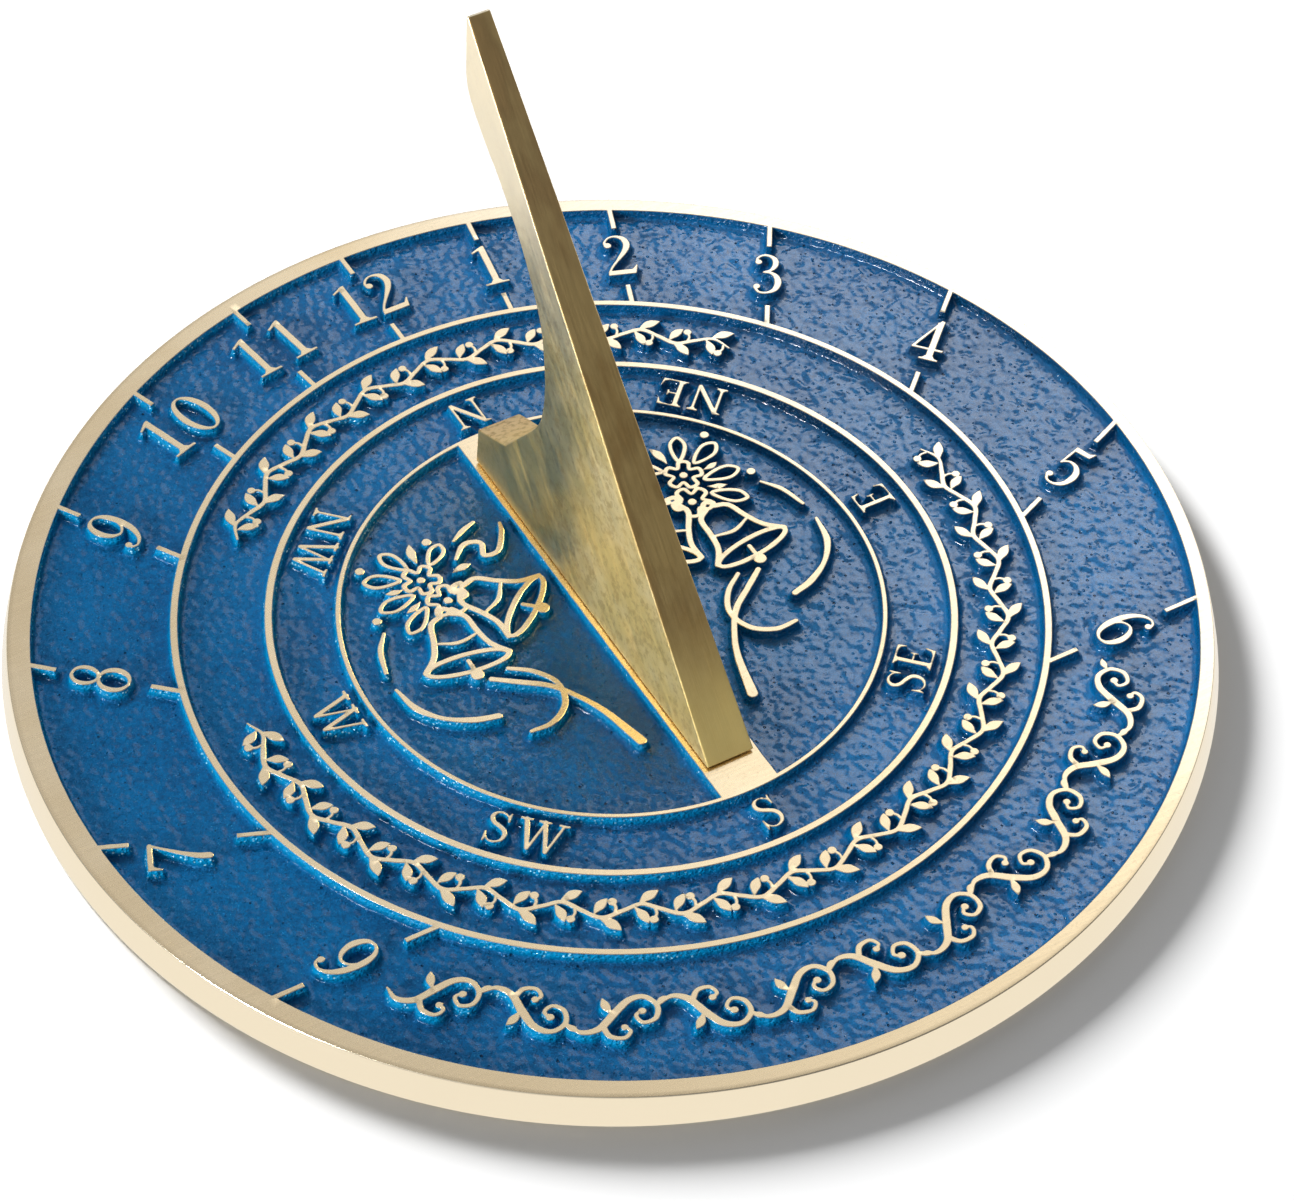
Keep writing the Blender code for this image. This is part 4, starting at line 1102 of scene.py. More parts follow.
def gnomon_outline():
    """Side profile (y, z), mm above the tops: toe, base, heel, swept back, nose. It runs
    counter-clockwise and closes down the style."""
    toe = TOE_Y * FACE_R + GAP / math.tan(STYLE_ANGLE)
    nose = (TOE_Y + TIP_Z / math.tan(STYLE_ANGLE)) * FACE_R
    back = smooth([(y, z, 1.0) for y, z in BACK_EDGE], steps=3)
    corners = [(toe, GAP, 0.30), (HEEL_BASE_Y * FACE_R, GAP, 0.45),
               (HEEL_TOP[0] * FACE_R, HEEL_TOP[1] * FACE_R, 0.55)]
    corners += [(y * FACE_R, z * FACE_R, 0.0) for y, z, _ in back]
    corners.append((nose, TIP_Z * FACE_R, 0.42))
    return rounded(corners, 1.2)


def inward(ring):
    """Inward normals of a counter-clockwise outline, with their mitre lengths."""
    normals = []
    for side in (ring - np.roll(ring, 1, 0), np.roll(ring, -1, 0) - ring):
        side /= np.linalg.norm(side, axis=1)[:, None]
        normals.append(np.stack([-side[:, 1], side[:, 0]], 1))
    mitre = normals[0] + normals[1]
    mitre /= np.linalg.norm(mitre, axis=1)[:, None]
    return mitre / np.maximum((mitre * normals[0]).sum(1), 0.5)[:, None]


def close_slivers(mesh):
    """Fills triangular gaps where the inset outline crosses itself at a tight corner."""
    shape = bmesh.new()
    shape.from_mesh(mesh)
    for vertex in list(shape.verts):
        near = [e.other_vert(vertex) for e in vertex.link_edges if e.is_boundary]
        for i, one in enumerate(near):
            for other in near[i + 1:]:
                pairs = ((vertex, one), (vertex, other), (one, other))
                sides = [shape.edges.get(pair) for pair in pairs]
                if all(e is not None and e.is_boundary for e in sides):
                    shape.faces.new((vertex, one, other))
    bmesh.ops.recalc_face_normals(shape, faces=shape.faces)
    shape.to_mesh(mesh)
    shape.free()


def make_gnomon():
    ring = gnomon_outline()
    count = len(ring)
    normals = inward(ring)
    # edges dressed with a file: a small uneven round
    uneven = 0.05 * Noise(45, 9.0)(*ring.T)
    ease = 0.27 + uneven + 0.025 * Noise(46, 2.5)(*ring.T)
    outer_inset = ring + normals * ease[:, None]
    face_inset = ring + normals * (ease[:, None] + 0.22)
    low, high = ring.min(0), ring.max(0)
    random = np.random.default_rng(41)
    grid_y, grid_z = np.meshgrid(np.arange(low[0], high[0], 1.2), np.arange(low[1], high[1], 1.2))
    inner = np.stack([grid_y.ravel(), grid_z.ravel()], 1)
    inner = inner + random.uniform(-0.22, 0.22, (grid_y.size, 2))
    nearest, inside = polygon_distance(face_inset, *inner.T)
    layout = Layout()
    layout.add_ring(face_inset)
    layout.add(inner[inside & (nearest > 0.7)])
    points, faces, _, where = layout.triangulate(count)
    faces = faces[polygon_distance(face_inset, *points[faces].mean(1).T)[1]]
    builder = MeshBuilder()

    def add_row(side, seed, places, drop=0.0):
        """Vertices on one cheek (side = -1 or 1 in x), sunk by drop."""
        y, z = places.T
        wave = 0.040 * Noise(seed, 17.0)(y, z) + 0.012 * Noise(seed + 10, 5.5)(y, z)
        return builder.add(np.column_stack([side * (half_thickness(z) + wave - drop), y,
                                            PLATE_H + z]))

    def shoulder(side, seed):
        """Rounded edge from a cheek out to the outline."""
        rows = [add_row(side, seed, outer_inset)]
        for degrees in (30, 60):
            angle = math.radians(degrees)
            places = ring + normals * ease[:, None] * (1 - math.sin(angle))
            rows.append(add_row(side, seed, places, ease * (1 - math.cos(angle))))
        rows.append(add_row(side, seed, ring, ease))
        rows.append(add_row(side, seed, ring, ease + 0.2))
        return rows

    west_seed, east_seed = 42, 43
    west_cheek, east_cheek = add_row(-1, west_seed, points), add_row(1, east_seed, points)
    builder.faces(east_cheek[faces])
    builder.faces(west_cheek[faces[:, ::-1]])
    rows = [west_cheek[where[:count]]] + shoulder(-1, west_seed)
    for across in (-0.45, 0.0, 0.45):
        crown = 0.015 * Noise(47, 12.0)(ring[:, 0], ring[:, 1] + 40 * across)
        y, z = (ring + normals * crown[:, None]).T
        thickness = half_thickness(ring[:, 1])
        rows.append(builder.add(np.column_stack([across * thickness, y, PLATE_H + z])))
    rows += shoulder(1, east_seed)[::-1] + [east_cheek[where[:count]]]
    builder.join(rows)
    mesh = builder.mesh("gnomon_blade")
    close_slivers(mesh)
    return shade(new_object("gnomon_blade", mesh))


# ---------------------------------------------------------------- screws and cuts
def turned_solid(name, rows, count, y, thread=None):
    """Closed solid of revolution about a vertical axis at (0, y). rows: (radius, z) upwards.
    thread: (bottom z, top z, pitch, depth)."""
    builder = MeshBuilder()
    angle = 2 * np.pi * np.arange(count) / count
    rings = []
    for row_radius, z in rows:
        radius = np.full(count, row_radius)
        if thread and thread[0] <= z <= thread[1]:
            bottom, top, pitch, depth = thread
            phase = ((z - bottom) / pitch - np.arange(count) / count) % 1.0
            fade = min(1.0, (z - bottom) / pitch, (top - z) / pitch)
            radius = radius - depth * fade * np.abs(2 * phase - 1.0)
        rings.append(builder.add(np.column_stack([
            radius * np.cos(angle), y + radius * np.sin(angle), np.full(count, z)])))
    builder.join(rings)
    bottom_id, top_id = builder.add([(0.0, y, rows[0][1]), (0.0, y, rows[-1][1])])
    first, last = rings[0], rings[-1]
    builder.faces(np.column_stack([np.roll(first, -1), first, np.full(count, bottom_id)]))
    builder.faces(np.column_stack([last, np.roll(last, -1), np.full(count, top_id)]))
    return shade(new_object(name, builder.mesh(name)), 30)


def cut(thing, tool):
    """Subtracts the tool and removes it."""
    modifier = thing.modifiers.new("cut", "BOOLEAN")
    modifier.operation, modifier.solver, modifier.object = "DIFFERENCE", "EXACT", tool
    graph = bpy.context.evaluated_depsgraph_get()
    mesh = bpy.data.meshes.new_from_object(thing.evaluated_get(graph))
    thing.modifiers.clear()
    old = thing.data
    thing.data = mesh
    bpy.data.meshes.remove(old)
    bpy.data.objects.remove(tool, do_unlink=True)
    shade(thing, 30)


def make_screw(name, y, slot_turn):
    """Countersunk screw, head down, with a slot turned by slot_turn degrees."""
    top = PLATE_H + SCREW_REACH
    rows = [(SCREW_HEAD_R - 0.12, GAP), (SCREW_HEAD_R - 0.03, GAP + 0.03),
            (SCREW_HEAD_R, GAP + 0.11), (SCREW_R, GAP + SCREW_HEAD_H), (SCREW_R, 3.4)]
    rows += [(SCREW_R, z) for z in np.arange(3.5, top - 0.7, 0.1)]
    rows += [(SCREW_R - 0.1, top - 0.6), (SCREW_R - 0.6, top - 0.1), (SCREW_R - 0.7, top)]
    screw = turned_solid(name, rows, 48, y, thread=(3.6, top - 0.8, 0.7, 0.36))
    slot = bmesh.new()
    bmesh.ops.create_cube(slot, size=1.0)
    bmesh.ops.scale(slot, vec=(0.010, 0.0009, 0.0018), verts=slot.verts)
    turn = Matrix.Rotation(math.radians(slot_turn), 3, "Z")
    bmesh.ops.rotate(slot, cent=(0, 0, 0), matrix=turn, verts=slot.verts)
    bmesh.ops.translate(slot, vec=(0, y * MM, GAP * MM), verts=slot.verts)
    cut(screw, shade(new_object("slot_tool", mesh_from(slot, "slot_tool"))))
    return screw


gnomon = make_gnomon()
for y in SCREW_Y:
    bore = [(HOLE_R, PLATE_H - 1.0), (HOLE_R, PLATE_H + SCREW_REACH + 0.8),
            (0.5, PLATE_H + SCREW_REACH + 2.0)]
    cut(gnomon, turned_solid("tap", bore, 32, y))
shade(gnomon, 42)
screws = [make_screw("screw_south", SCREW_Y[0], 25), make_screw("screw_north", SCREW_Y[1], -40)]


# ---------------------------------------------------------------- shader helpers
class Signal:
    """A node output. Arithmetic on it adds Math nodes, operands in the order written."""

    def __init__(self, shader, socket):
        self.shader, self.socket = shader, socket

    def math(self, operation, other=0.0):
        return self.shader.math(operation, self, other)

    def __add__(self, other):
        return self.math("ADD", other)

    def __sub__(self, other):
        return self.math("SUBTRACT", other)

    def __mul__(self, other):
        return self.math("MULTIPLY", other)

    def __truediv__(self, other):
        return self.math("DIVIDE", other)

    def __radd__(self, other):
        return self.shader.math("ADD", other, self)

    def __rsub__(self, other):
        return self.shader.math("SUBTRACT", other, self)

    def output(self, key):
        """Another output of the same node."""
        return Signal(self.shader, self.socket.node.outputs[key])

    def ramp(self, start, end, low=0.0, high=1.0, kind="SMOOTHSTEP"):
        """Goes from low to high while this signal goes from start to end."""
        limits = {"Value": self, "From Min": start, "From Max": end, "To Min": low, "To Max": high}
        return self.shader.node("MapRange", limits, output="Result", interpolation_type=kind)

    def mix(self, base, other):
        """Colour that goes from base to other as this signal goes from 0 to 1."""
        base, other = ((*c, 1.0) if isinstance(c, tuple) else c for c in (base, other))
        return self.shader.node("Mix", {0: self, 6: base, 7: other}, output=2, data_type="RGBA")


class Shader:
    """Adds nodes to a tree. An input given as a Signal is linked, anything else is a value."""

    def __init__(self, tree):
        self.tree = tree

    def node(self, kind, inputs=None, output=0, **settings):
        node = self.tree.nodes.new("ShaderNode" + kind)
        for key, value in settings.items():
            setattr(node, key, value)
        for key, value in (inputs or {}).items():
            if isinstance(value, Signal):
                self.tree.links.new(value.socket, node.inputs[key])
            else:
                node.inputs[key].default_value = value
        return Signal(self, node.outputs[output])

    def math(self, operation, first, second):
        return self.node("Math", {0: first, 1: second}, operation=operation)

    def vector(self, operation, first, second=None, scale=None):
        inputs = {0: first, 1: second, "Scale": scale}
        given = {key: value for key, value in inputs.items() if value is not None}
        output = "Value" if operation in ("DOT_PRODUCT", "LENGTH") else "Vector"
        return self.node("VectorMath", given, output=output, operation=operation)

    def split(self, vector):
        parts = self.node("SeparateXYZ", {0: vector})
        return [parts.output(k) for k in range(3)]

    def combine(self, x, y, z=0.0):
        return self.node("CombineXYZ", {0: x, 1: y, 2: z})


class MaterialShader(Shader):
    """Shader of a new material; position is in millimetres."""

    def __init__(self, name):
        self.material = bpy.data.materials.new(name)
        self.material.use_nodes = True
        super().__init__(self.material.node_tree)
        self.tree.nodes.clear()
        place_in_object = self.node("TexCoord", output="Object")
        self.position = self.vector("SCALE", place_in_object, scale=1000.0)

    def noise(self, scale, detail=2.0, roughness=0.5, vector=None):
        inputs = {"Vector": vector or self.position, "Scale": scale, "Detail": detail,
                  "Roughness": roughness}
        return self.node("TexNoise", inputs, output="Fac")

    def cells(self, scale, shift=None):
        """Voronoi cells: distance from their middles, and their random colours."""
        place_ = self.vector("ADD", self.position, shift) if shift else self.position
        inputs = {"Vector": place_, "Scale": scale, "Randomness": 1.0}
        distance = self.node("TexVoronoi", inputs, output="Distance", feature="F1")
        return distance, distance.output("Color")

    def stretch(self, angle, along, across):
        """Coordinates for a brushed grain that runs at this angle in the XY plane."""
        return self.node("Mapping", {"Vector": self.position, "Rotation": (0.0, 0.0, angle),
                                     "Scale": (along, across, across)})

    def bump(self, height, distance):
        return self.node("Bump", {"Height": height, "Strength": 1.0, "Distance": distance})

    def finish(self, surface):
        output = self.tree.nodes.new("ShaderNodeOutputMaterial")
        self.tree.links.new(surface.socket, output.inputs[0])
        return self.material

    def principled(self, **inputs):
        """Finishes with a Principled surface; underscores in input names stand for spaces."""
        named = {key.replace("_", " "): value for key, value in inputs.items()}
        return self.finish(self.node("BsdfPrincipled", named))


# ---------------------------------------------------------------- materials
def enamel_material():
    shader = MaterialShader("blue_enamel")
    noise, cells, split = shader.noise, shader.cells, shader.split
    x, y, z = split(shader.position)
    wall = z.ramp(start=4.66, end=5.6)
    # round knobs in some of the cells
    distance, colour = cells(scale=0.80)
    knobs = distance.ramp(start=0.30, end=0.04) * split(colour)[0].ramp(start=0.45, end=0.60)
    # pinholes, more of them to the east, where the paint was laid on thicker
    distance, colour = cells(scale=0.58, shift=(31.0, 17.0, 5.0))
    rarity = x.ramp(start=-70.0, end=80.0, low=0.80, high=0.18)
    chance, size, _ = split(colour)
    size = size.ramp(start=0.0, end=1.0, low=0.10, high=0.21, kind="LINEAR")
    holes = (distance / size).ramp(start=1.0, end=0.35) * chance.math("GREATER_THAN", rarity)
    holes = holes * (1.0 - wall)
    # height of the lacquer's surface: swell, fine grain, knobs, pinholes and waves on the walls
    swell = noise(scale=0.36, detail=0.6) * 0.52 + noise(scale=1.10, detail=0.3) * 0.20
    height = swell + (noise(scale=3.2) * 0.03 + knobs * 0.95) - holes * 1.5
    height = height * x.ramp(start=-50.0, end=60.0, low=0.55, high=0.62, kind="LINEAR")
    wall_waves = noise(scale=1.5, detail=1.0) * wall
    height = height + wall_waves * x.ramp(start=-50.0, end=50.0, low=2.1, high=1.5)
    coat_normal = shader.bump(height, distance=0.00027)
    # each tiny flake under the coat tilts its own way
    flakes = shader.vector("SUBTRACT", cells(scale=5.0)[1], (0.5, 0.5, 0.5))
    tilt = shader.vector("SCALE", flakes, scale=0.7)
    base_normal = shader.vector("NORMALIZE", shader.vector("ADD", coat_normal, tilt))
    # blue of floor and walls; the floor is painted lighter towards the east
    deep, middle = (0.0, 0.062, 0.175), (0.0, 0.094, 0.248)
    lit_west_wall, shaded_east_wall = (0.0, 0.270, 0.540), (0.0, 0.085, 0.225)
    cloud = noise(scale=0.05, detail=3.0)
    grain = noise(scale=0.85, detail=4.0, roughness=0.62)
    tone = (cloud * 0.45 + grain * 0.55).ramp(start=0.38, end=0.60).mix(deep, middle)
    # painted light: the floor's blue lightens towards the east, where the sheen falls
    gain = x.ramp(start=-60.0, end=60.0, low=1.00, high=1.30, kind="LINEAR")
    tone = shader.vector("SCALE", tone, scale=gain)
    # painted light and shade on the walls: bright cyan in the west, where the light falls on them,
    # dark navy in the east, where they lie in shade
    wall_tone = x.ramp(start=-45.0, end=40.0).mix(lit_west_wall, shaded_east_wall)
    tone = (wall * 0.9).mix(tone, wall_tone)
    # painted shade: the pinholes are darkened
    tone = (holes * 0.85).mix(tone, (0.0, 0.008, 0.030))
    # painted glints in the west: fine and faint on the floor, larger and brighter on the walls
    distance, colour = cells(scale=1.7, shift=(7.0, 41.0, 3.0))
    floor_chance, wall_chance, _ = split(colour)
    west = x.ramp(start=15.0, end=-55.0)
    painted_glints = distance.ramp(start=0.24, end=0.08) * floor_chance.math("GREATER_THAN", 0.70)
    painted_glints = painted_glints * (z.ramp(start=4.95, end=4.75) * 0.55)
    tone = (painted_glints * west).mix(tone, (0.030, 0.270, 0.470))
    # painted glints on the walls, in patches
    painted_glints = distance.ramp(start=0.42, end=0.20) * wall_chance.math("GREATER_THAN", 0.58)
    patches = noise(scale=0.10).ramp(start=0.44, end=0.54)
    painted_glints = painted_glints * (z.ramp(start=4.90, end=5.15) * patches)
    tone = (painted_glints * west).mix(tone, (0.42, 0.80, 0.92))
    # painted shade along the west foot of the gnomon, where the gnomon shades the lacquer
    foot = ((x.ramp(start=-34.0, end=-8.0) * x.ramp(start=2.0, end=-1.0))
            * (y.ramp(start=-56.0, end=-20.0) * y.ramp(start=58.0, end=30.0)))
    tone = (foot * (1.0 - wall) * 0.55).mix(tone, (0.0, 0.030, 0.075))
    # lacquer thin in the west and thick in the east and on every wall
    floor_gloss = x.ramp(start=-70.0, end=60.0, low=0.18, high=1.0, kind="LINEAR")
    gloss = floor_gloss.math("MAXIMUM", z.ramp(start=4.85, end=5.3))
    return shader.principled(
        Base_Color=tone, Metallic=0.10, Roughness=0.42, Specular_IOR_Level=0.05,
        Normal=base_normal, IOR=1.45, Coat_Weight=gloss, Coat_Roughness=0.14, Coat_IOR=1.50,
        Coat_Normal=coat_normal)


def dial_brass():
    shader = MaterialShader("cast_brass")
    noise, vector, position = shader.noise, shader.vector, shader.position
    x, y, z = shader.split(position)

    def radius():
        return vector("LENGTH", shader.combine(x, y))

    normal_z = shader.split(shader.node("NewGeometry", output="Normal"))[2]
    flat = normal_z.ramp(start=0.90, end=0.985)
    # two crossing sets of brush lines, and casting pits
    lines = noise(scale=1.0, detail=3.0, roughness=0.6,
                  vector=shader.stretch(math.radians(38), along=0.10, across=2.4))
    cross_lines = noise(scale=1.0, detail=2.0, roughness=0.6,
                        vector=shader.stretch(math.radians(-22), along=0.16, across=1.6))
    pits = noise(scale=2.4, detail=3.0, roughness=0.6)
    # the side of the rim was turned in a lathe: fine rings that follow the height
    lathe = shader.combine(vector("LENGTH", position) * 0.02, 0.0, z * 5.0)
    lathe_rings = noise(scale=1.0, vector=lathe)
    light, sand, lit_side_tone = (0.94, 0.775, 0.530), (0.89, 0.715, 0.465), (0.97, 0.840, 0.620)
    cloud = noise(scale=0.045, detail=4.0, roughness=0.55)
    tone = cloud.ramp(start=0.38, end=0.66).mix(light, sand)
    tone = pits.ramp(start=0.60, end=0.78, high=0.45).mix(tone, (0.60, 0.47, 0.27))
    # darker just below the tops
    tone = z.ramp(start=6.498, end=6.44, high=0.65).mix(tone, (0.50, 0.37, 0.19))
    # painted light and shade: deeper towards the south, paler towards the east
    south = vector("DOT_PRODUCT", position, (-0.17, -0.985, 0.0))
    tone = south.ramp(start=45.0, end=98.0, high=0.8).mix(tone, (0.74, 0.590, 0.375))
    east = vector("DOT_PRODUCT", position, (0.966, 0.259, 0.0))
    tone = east.ramp(start=25.0, end=75.0, high=0.9).mix(tone, (0.97, 0.865, 0.690))
    # a thin dull line along the outer edge in the west
    edge_line_radius = 106.35
    off = (radius() - edge_line_radius).math("ABSOLUTE")
    broken = noise(scale=0.5, detail=3.0, roughness=0.6).ramp(start=0.38, end=0.52)
    dull = off.ramp(start=0.42, end=0.12) * (x.ramp(start=-58.0, end=-92.0) * broken)
    tone = (dull * 0.75).mix(tone, (0.42, 0.27, 0.13))
    # painted light: the sides are paler than the tops
    tone = flat.mix(lit_side_tone, tone)
    # dark walls and floor inside the rim
    inside = 1.0 - radius().ramp(start=102.0, end=104.0)
    tone = (z.ramp(start=6.2, end=5.2) * inside).mix(tone, (0.50, 0.36, 0.16))
    rough = (lines.ramp(start=0.3, end=0.7, low=0.24, high=0.29)
             + pits.ramp(start=0.5, end=0.8, high=0.10))
    rough = rough * flat.ramp(start=0.0, end=1.0, low=0.72)
    brushed = (lines + cross_lines * 0.6) * 0.12 * flat
    height = brushed + lathe_rings * 0.4 * (1.0 - flat) + pits * 0.14
    return shader.principled(Base_Color=tone, Metallic=1.0, Roughness=rough,
                             Normal=shader.bump(height, distance=0.000022))


def gnomon_brass():
    shader = MaterialShader("gnomon_brass")
    noise, combine = shader.noise, shader.combine
    x, y, z = shader.split(shader.position)
    _, normal_y, normal_z = shader.split(shader.node("NewGeometry", output="Normal"))
    style = (normal_y * -1.0).ramp(start=0.35, end=0.6)
    # brushed along the style: stretched coordinates in the plane of the blade
    cosine, sine = math.cos(STYLE_ANGLE), math.sin(STYLE_ANGLE)
    along, across = y * cosine + z * sine, z * cosine - y * sine
    lines = noise(scale=1.0, detail=3.0, roughness=0.6,
                  vector=combine(along * 0.10, across * 3.0, x * 3.0))
    smear = noise(scale=0.20, detail=4.0, vector=combine(along * 0.35, across * 0.9, x * 0.9))
    gold, pale, brown = (0.84, 0.665, 0.270), (0.90, 0.765, 0.430), (0.55, 0.390, 0.150)
    cloud = noise(scale=0.055, detail=4.0, roughness=0.6)
    tone = cloud.ramp(start=0.35, end=0.65).mix(gold, pale)
    # brown smears, strongest low down
    smears = smear.ramp(start=0.44, end=0.76, high=0.42) * z.ramp(start=75.0, end=45.0, low=0.3)
    tone = smears.mix(tone, brown)
    # greenish clouds to the north, brown spots all over
    clouds = noise(scale=0.10, detail=4.0, roughness=0.55).ramp(start=0.40, end=0.70, high=0.75)
    tone = (clouds * y.ramp(start=-20.0, end=25.0)).mix(tone, (0.60, 0.52, 0.27))
    spots = noise(scale=0.62, detail=5.0, roughness=0.68).ramp(start=0.46, end=0.64, high=0.60)
    tone = spots.mix(tone, brown)
    # painted light: pale towards the tip, and a bright warm patch low in the north
    tone = z.ramp(start=55.0, end=85.0, high=0.85).mix(tone, (0.93, 0.83, 0.64))
    lit_patch = y.ramp(start=8.0, end=30.0, high=0.75) * z.ramp(start=45.0, end=25.0)
    tone = lit_patch.mix(tone, (0.98, 0.72, 0.26))
    # rougher, browner skin left on the heel
    heel = y.ramp(start=27.0, end=33.0) * z.ramp(start=24.0, end=15.0)
    skin = noise(scale=0.9, detail=3.0, roughness=0.6).ramp(start=0.46, end=0.64)
    skin_tone = skin.mix((0.98, 0.70, 0.38), (0.56, 0.34, 0.15))
    facing_up = normal_z.ramp(start=0.3, end=0.7, low=0.15, high=0.75)
    tone = (heel * facing_up).mix(tone, skin_tone)
    # the style's face: a painted highlight bright at the toe, smeared above
    upper = smear.ramp(start=0.40, end=0.62).mix((0.86, 0.610, 0.245), (0.58, 0.375, 0.140))
    style_tone = z.ramp(start=9.0, end=30.0).mix((1.0, 0.760, 0.270), upper)
    tone = (style * 0.9).mix(tone, style_tone)
    south_body = y.ramp(start=16.0, end=-6.0) * (1.0 - style)
    rough = (lines.ramp(start=0.3, end=0.7, low=0.30, high=0.42)
             + smear.ramp(start=0.45, end=0.75, high=0.12) + south_body * 0.20)
    grain = noise(scale=1.6, detail=3.0, roughness=0.6) * (0.15 + heel * 3.0)
    height = lines + (smear * 0.8 + grain)
    metallic = 1.0 - style * z.ramp(start=30.0, end=9.0) * 0.35
    return shader.principled(Base_Color=tone, Metallic=metallic, Roughness=rough,
                             Normal=shader.bump(height, distance=0.000030))


def screw_brass():
    shader = MaterialShader("screw_brass")
    cloud = shader.noise(scale=0.4, detail=3.0, roughness=0.6)
    lines = shader.noise(scale=1.0, vector=shader.stretch(0.5, along=0.3, across=6.0))
    tone = cloud.ramp(start=0.35, end=0.7).mix((0.78, 0.60, 0.30), (0.52, 0.37, 0.17))
    rough = lines.ramp(start=0.3, end=0.7, low=0.24, high=0.42)
    return shader.principled(Base_Color=tone, Metallic=1.0, Roughness=rough,
                             Normal=shader.bump(lines, distance=0.00001))


def floor_material():
    shader = MaterialShader("pale_floor")
    node = shader.node
    cloud = shader.noise(scale=0.02, detail=4.0, roughness=0.6)
    tone = cloud.mix((0.64, 0.64, 0.64), (0.67, 0.67, 0.67))
    matt = node("BsdfPrincipled", {"Base Color": tone, "Roughness": 0.75,
                                   "Specular IOR Level": 0.1})
    # the metal sees the floor as an evenly lit white sweep, and away from the dial it is white
    strength = 0.93 + node("LightPath", output="Is Camera Ray") * 0.09
    lit = node("Emission", {"Color": (1.0, 1.0, 1.0, 1.0), "Strength": strength})
    far = shader.vector("LENGTH", shader.position).ramp(start=190.0, end=330.0)
    white = node("LightPath", output="Is Glossy Ray").math("MAXIMUM", far)
    return shader.finish(node("MixShader", {0: white, 1: matt, 2: lit}))


def dress(thing, material, cad_node):
    thing.data.materials.clear()
    thing.data.materials.append(material)
    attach(thing, "root")
    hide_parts(cad_node)


blue, brass, blade_brass, screw_metal = (
    enamel_material(), dial_brass(), gnomon_brass(), screw_brass())
dress(dial, brass, "dial_plate")
for piece, zone in zip(enamel, ENAMEL_ZONES):
    dress(piece, blue, zone[1])
dress(gnomon, blade_brass, "gnomon")
dress(screws[0], screw_metal, "gnomon_screw_south")
dress(screws[1], screw_metal, "gnomon_screw_north")

# ---------------------------------------------------------------- floor and lights
floor_shape = bmesh.new()
bmesh.ops.create_grid(floor_shape, x_segments=1, y_segments=1, size=4.0)
floor = new_object("floor", mesh_from(floor_shape, "floor"))
floor.data.materials.append(floor_material())


def direction(azimuth, elevation):
    """Unit vector to a compass bearing (0 = +Y, 90 = +X) and height, degrees."""
    a, e = math.radians(azimuth), math.radians(elevation)
    return (math.sin(a) * math.cos(e), math.cos(a) * math.cos(e), math.sin(e))


def softbox(name, azimuth, elevation, distance, size, power, colour=(1, 1, 1), lights=None,
            shape="RECTANGLE", diffuse=True, glossy=True):
    """Area light aimed at the dial; lights is the collection it shines on. Sizes in metres."""
    target = Vector((0, 0, 0.02))
    position = Vector(direction(azimuth, elevation)) * distance + target
    data = bpy.data.lights.new(name, "AREA")
    data.shape, data.energy, data.color = shape, power, colour
    data.size, data.size_y = size
    light = new_object(name, data)
    aim = (target - position).to_track_quat("-Z", "Y").to_matrix().to_4x4()
    light.matrix_world = Matrix.Translation(position) @ aim
    light.visible_diffuse, light.visible_glossy = diffuse, glossy
    if lights is not None:
        light.light_linking.receiver_collection = lights
    return light


def group(name, members):
    collection = bpy.data.collections.new(name)
    for member in members:
        collection.objects.link(member)
    return collection


# the floor has its own light, and only the dial throws its soft shadow there
ground = softbox("ground", azimuth=-8, elevation=25, distance=4.0, size=(1.15, 1.15), power=480.0,
                 lights=group("lit_by_ground", [floor]))
ground.light_linking.blocker_collection = group("shades_ground", [dial] + enamel)
pieces = group("lit_by_softboxes", [dial] + enamel + [gnomon] + screws)
softbox("north", azimuth=-8, elevation=42, distance=1.5, size=(0.46, 0.46), power=15.0,
        colour=(1.0, 0.992, 0.98), lights=pieces, glossy=False)
softbox("west", azimuth=-102, elevation=15, distance=1.3, size=(0.60, 0.34), power=18.0,
        colour=(0.97, 0.985, 1.0), lights=pieces, glossy=False)
# reflections only
softbox("spark", azimuth=-92, elevation=33, distance=1.3, size=(0.30, 0.22), power=11.0,
        colour=(0.97, 0.985, 1.0), diffuse=False)
softbox("blade", azimuth=-80, elevation=12, distance=1.2, size=(0.42, 0.20), power=8.0,
        lights=group("lit_by_blade", [gnomon]), diffuse=False)
# a bright screen in the north-east that only the lacquer picks up, in four growing discs so that
# its sheen fades out: diameter, power
for k, (diameter, power) in enumerate(((0.36, 0.56), (0.56, 1.35), (0.76, 2.6), (0.98, 3.9))):
    softbox("sheen_%d" % k, azimuth=45, elevation=41, distance=1.5, size=(diameter, diameter),
            power=power, colour=(1.0, 0.99, 0.97), lights=group("lit_by_sheen_%d" % k, enamel),
            shape="DISK", diffuse=False)
# a small lamp that only shows as wet glints on the lacquer
softbox("glint", azimuth=-98, elevation=30, distance=1.3, size=(0.50, 0.36), power=9.0,
        colour=(0.97, 0.99, 1.0), lights=group("lit_by_glint", enamel), diffuse=False)

# ---------------------------------------------------------------- world
# azimuth, elevation, angle where it fades out, angle where it is full (degrees), gain
STUDIO_LOBES = ((22, 50, 75, 30, 0.22), (45, 40, 18.5, 8, 1.5), (-120, 5, 65, 15, 0.35))
STUDIO_DARK = (155, 40, 60, 24, 0.42)
STUDIO_LEVEL = 0.30
BACKDROP_LEVEL = 1.04      # what the camera sees behind everything, at the least


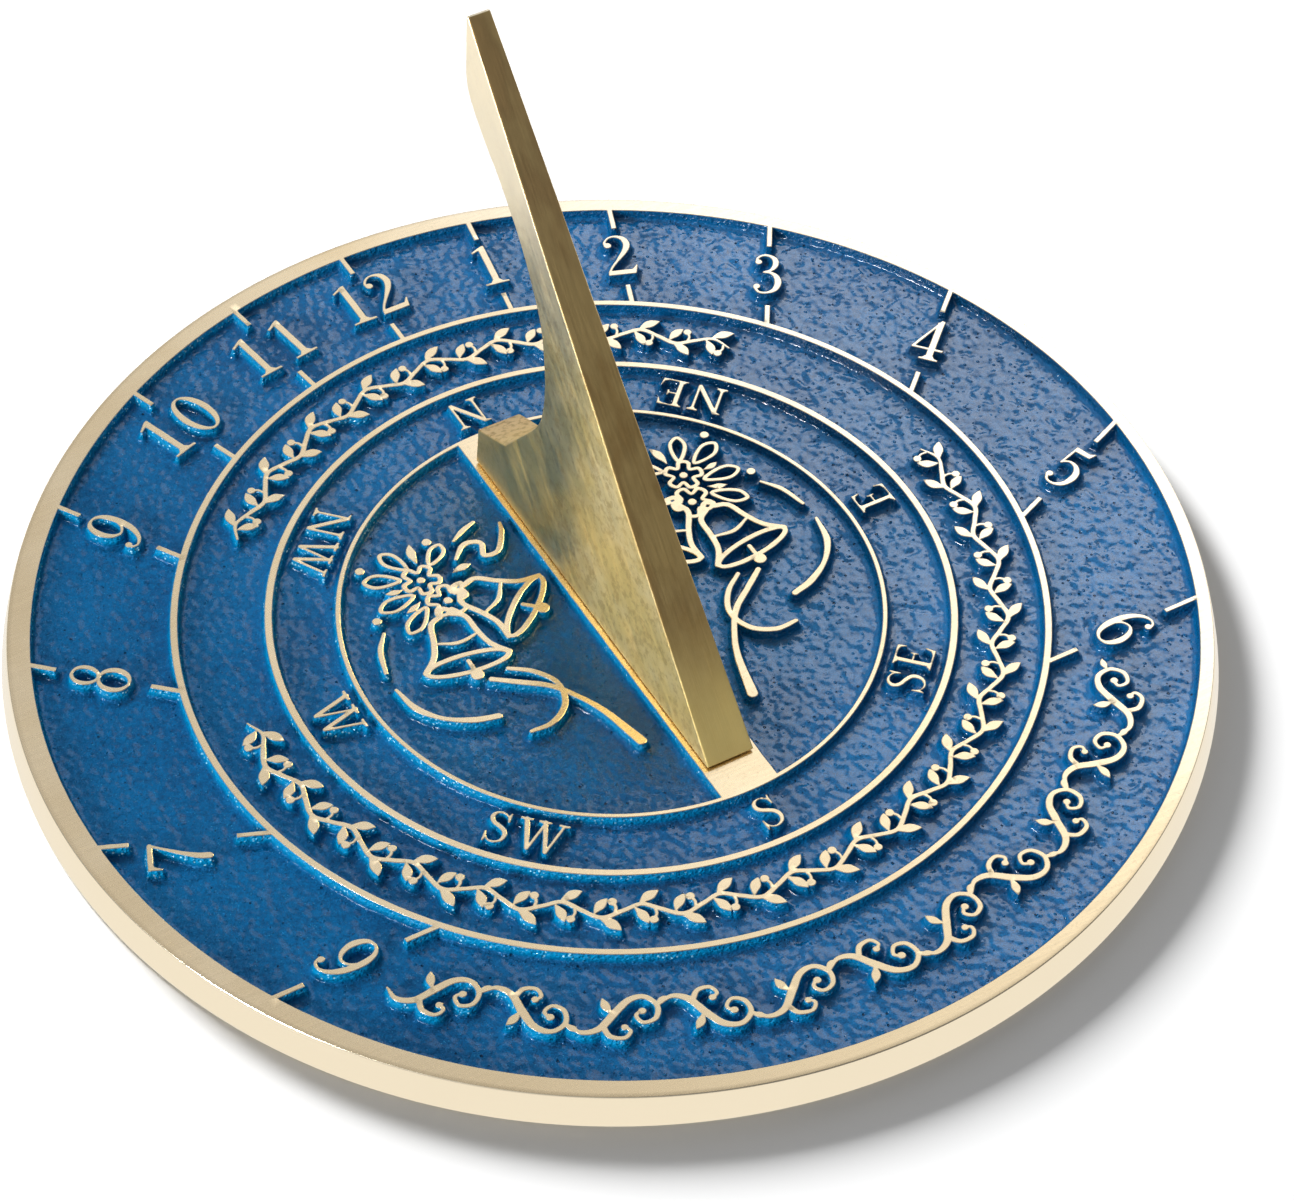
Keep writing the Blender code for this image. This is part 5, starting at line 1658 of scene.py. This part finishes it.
def studio():
    """Soft studio: pale all round, bright low in the north-east, dark in the south-south-east."""
    world = bpy.data.worlds.new("studio")
    bpy.context.scene.world = world
    world.use_nodes = True
    shader = Shader(world.node_tree)
    way = shader.node("TexCoord", output="Generated")

    def lobe(azimuth, elevation, wide, tight, gain):
        closeness = shader.vector("DOT_PRODUCT", way, direction(azimuth, elevation))
        return closeness.ramp(start=math.cos(math.radians(wide)),
                              end=math.cos(math.radians(tight)), high=gain)

    total = STUDIO_LEVEL
    for entry in STUDIO_LOBES:
        total = lobe(*entry) + total
    total = total * (1.0 - lobe(*STUDIO_DARK))
    seen = shader.node("LightPath", output="Is Camera Ray")
    strength = total.math("MAXIMUM", seen * BACKDROP_LEVEL)
    background = world.node_tree.nodes["Background"]
    world.node_tree.links.new(strength.socket, background.inputs["Strength"])
    background.inputs["Color"].default_value = (0.985, 0.992, 1.0, 1.0)


studio()

# ---------------------------------------------------------------- camera
VIEW_AZIMUTH = math.radians(-30.68)      # from the south, negative towards the west
VIEW_ELEVATION = math.radians(47.654)
VIEW_ROLL = math.radians(1.338)
VIEW_TARGET = Vector((0.0563, -0.0232, 0.0))   # on the plane of the tops, face radii
VIEW_DISTANCE = 6.9532                   # face radii


def add_camera():
    back = Vector((math.sin(VIEW_AZIMUTH) * math.cos(VIEW_ELEVATION),
                   -math.cos(VIEW_AZIMUTH) * math.cos(VIEW_ELEVATION), math.sin(VIEW_ELEVATION)))
    level = Vector((math.cos(VIEW_AZIMUTH), math.sin(VIEW_AZIMUTH), 0.0))
    upright = back.cross(level)
    right = level * math.cos(VIEW_ROLL) + upright * math.sin(VIEW_ROLL)
    up = upright * math.cos(VIEW_ROLL) - level * math.sin(VIEW_ROLL)
    data = bpy.data.cameras.new("camera")
    data.sensor_fit = "HORIZONTAL"
    data.sensor_width = 36.0
    data.lens = 112.4579907
    data.clip_start, data.clip_end = 0.05, 20.0
    camera = new_object("camera", data)
    matrix = Matrix((right, up, back)).transposed().to_4x4()
    eye = (VIEW_TARGET + back * VIEW_DISTANCE) * (FACE_R * MM)
    matrix.translation = eye + Vector((0, 0, PLATE_H * MM))
    camera.matrix_world = matrix
    bpy.context.scene.camera = camera


add_camera()
bpy.context.scene.view_settings.view_transform = "Standard"

bpy.context.view_layer.update()
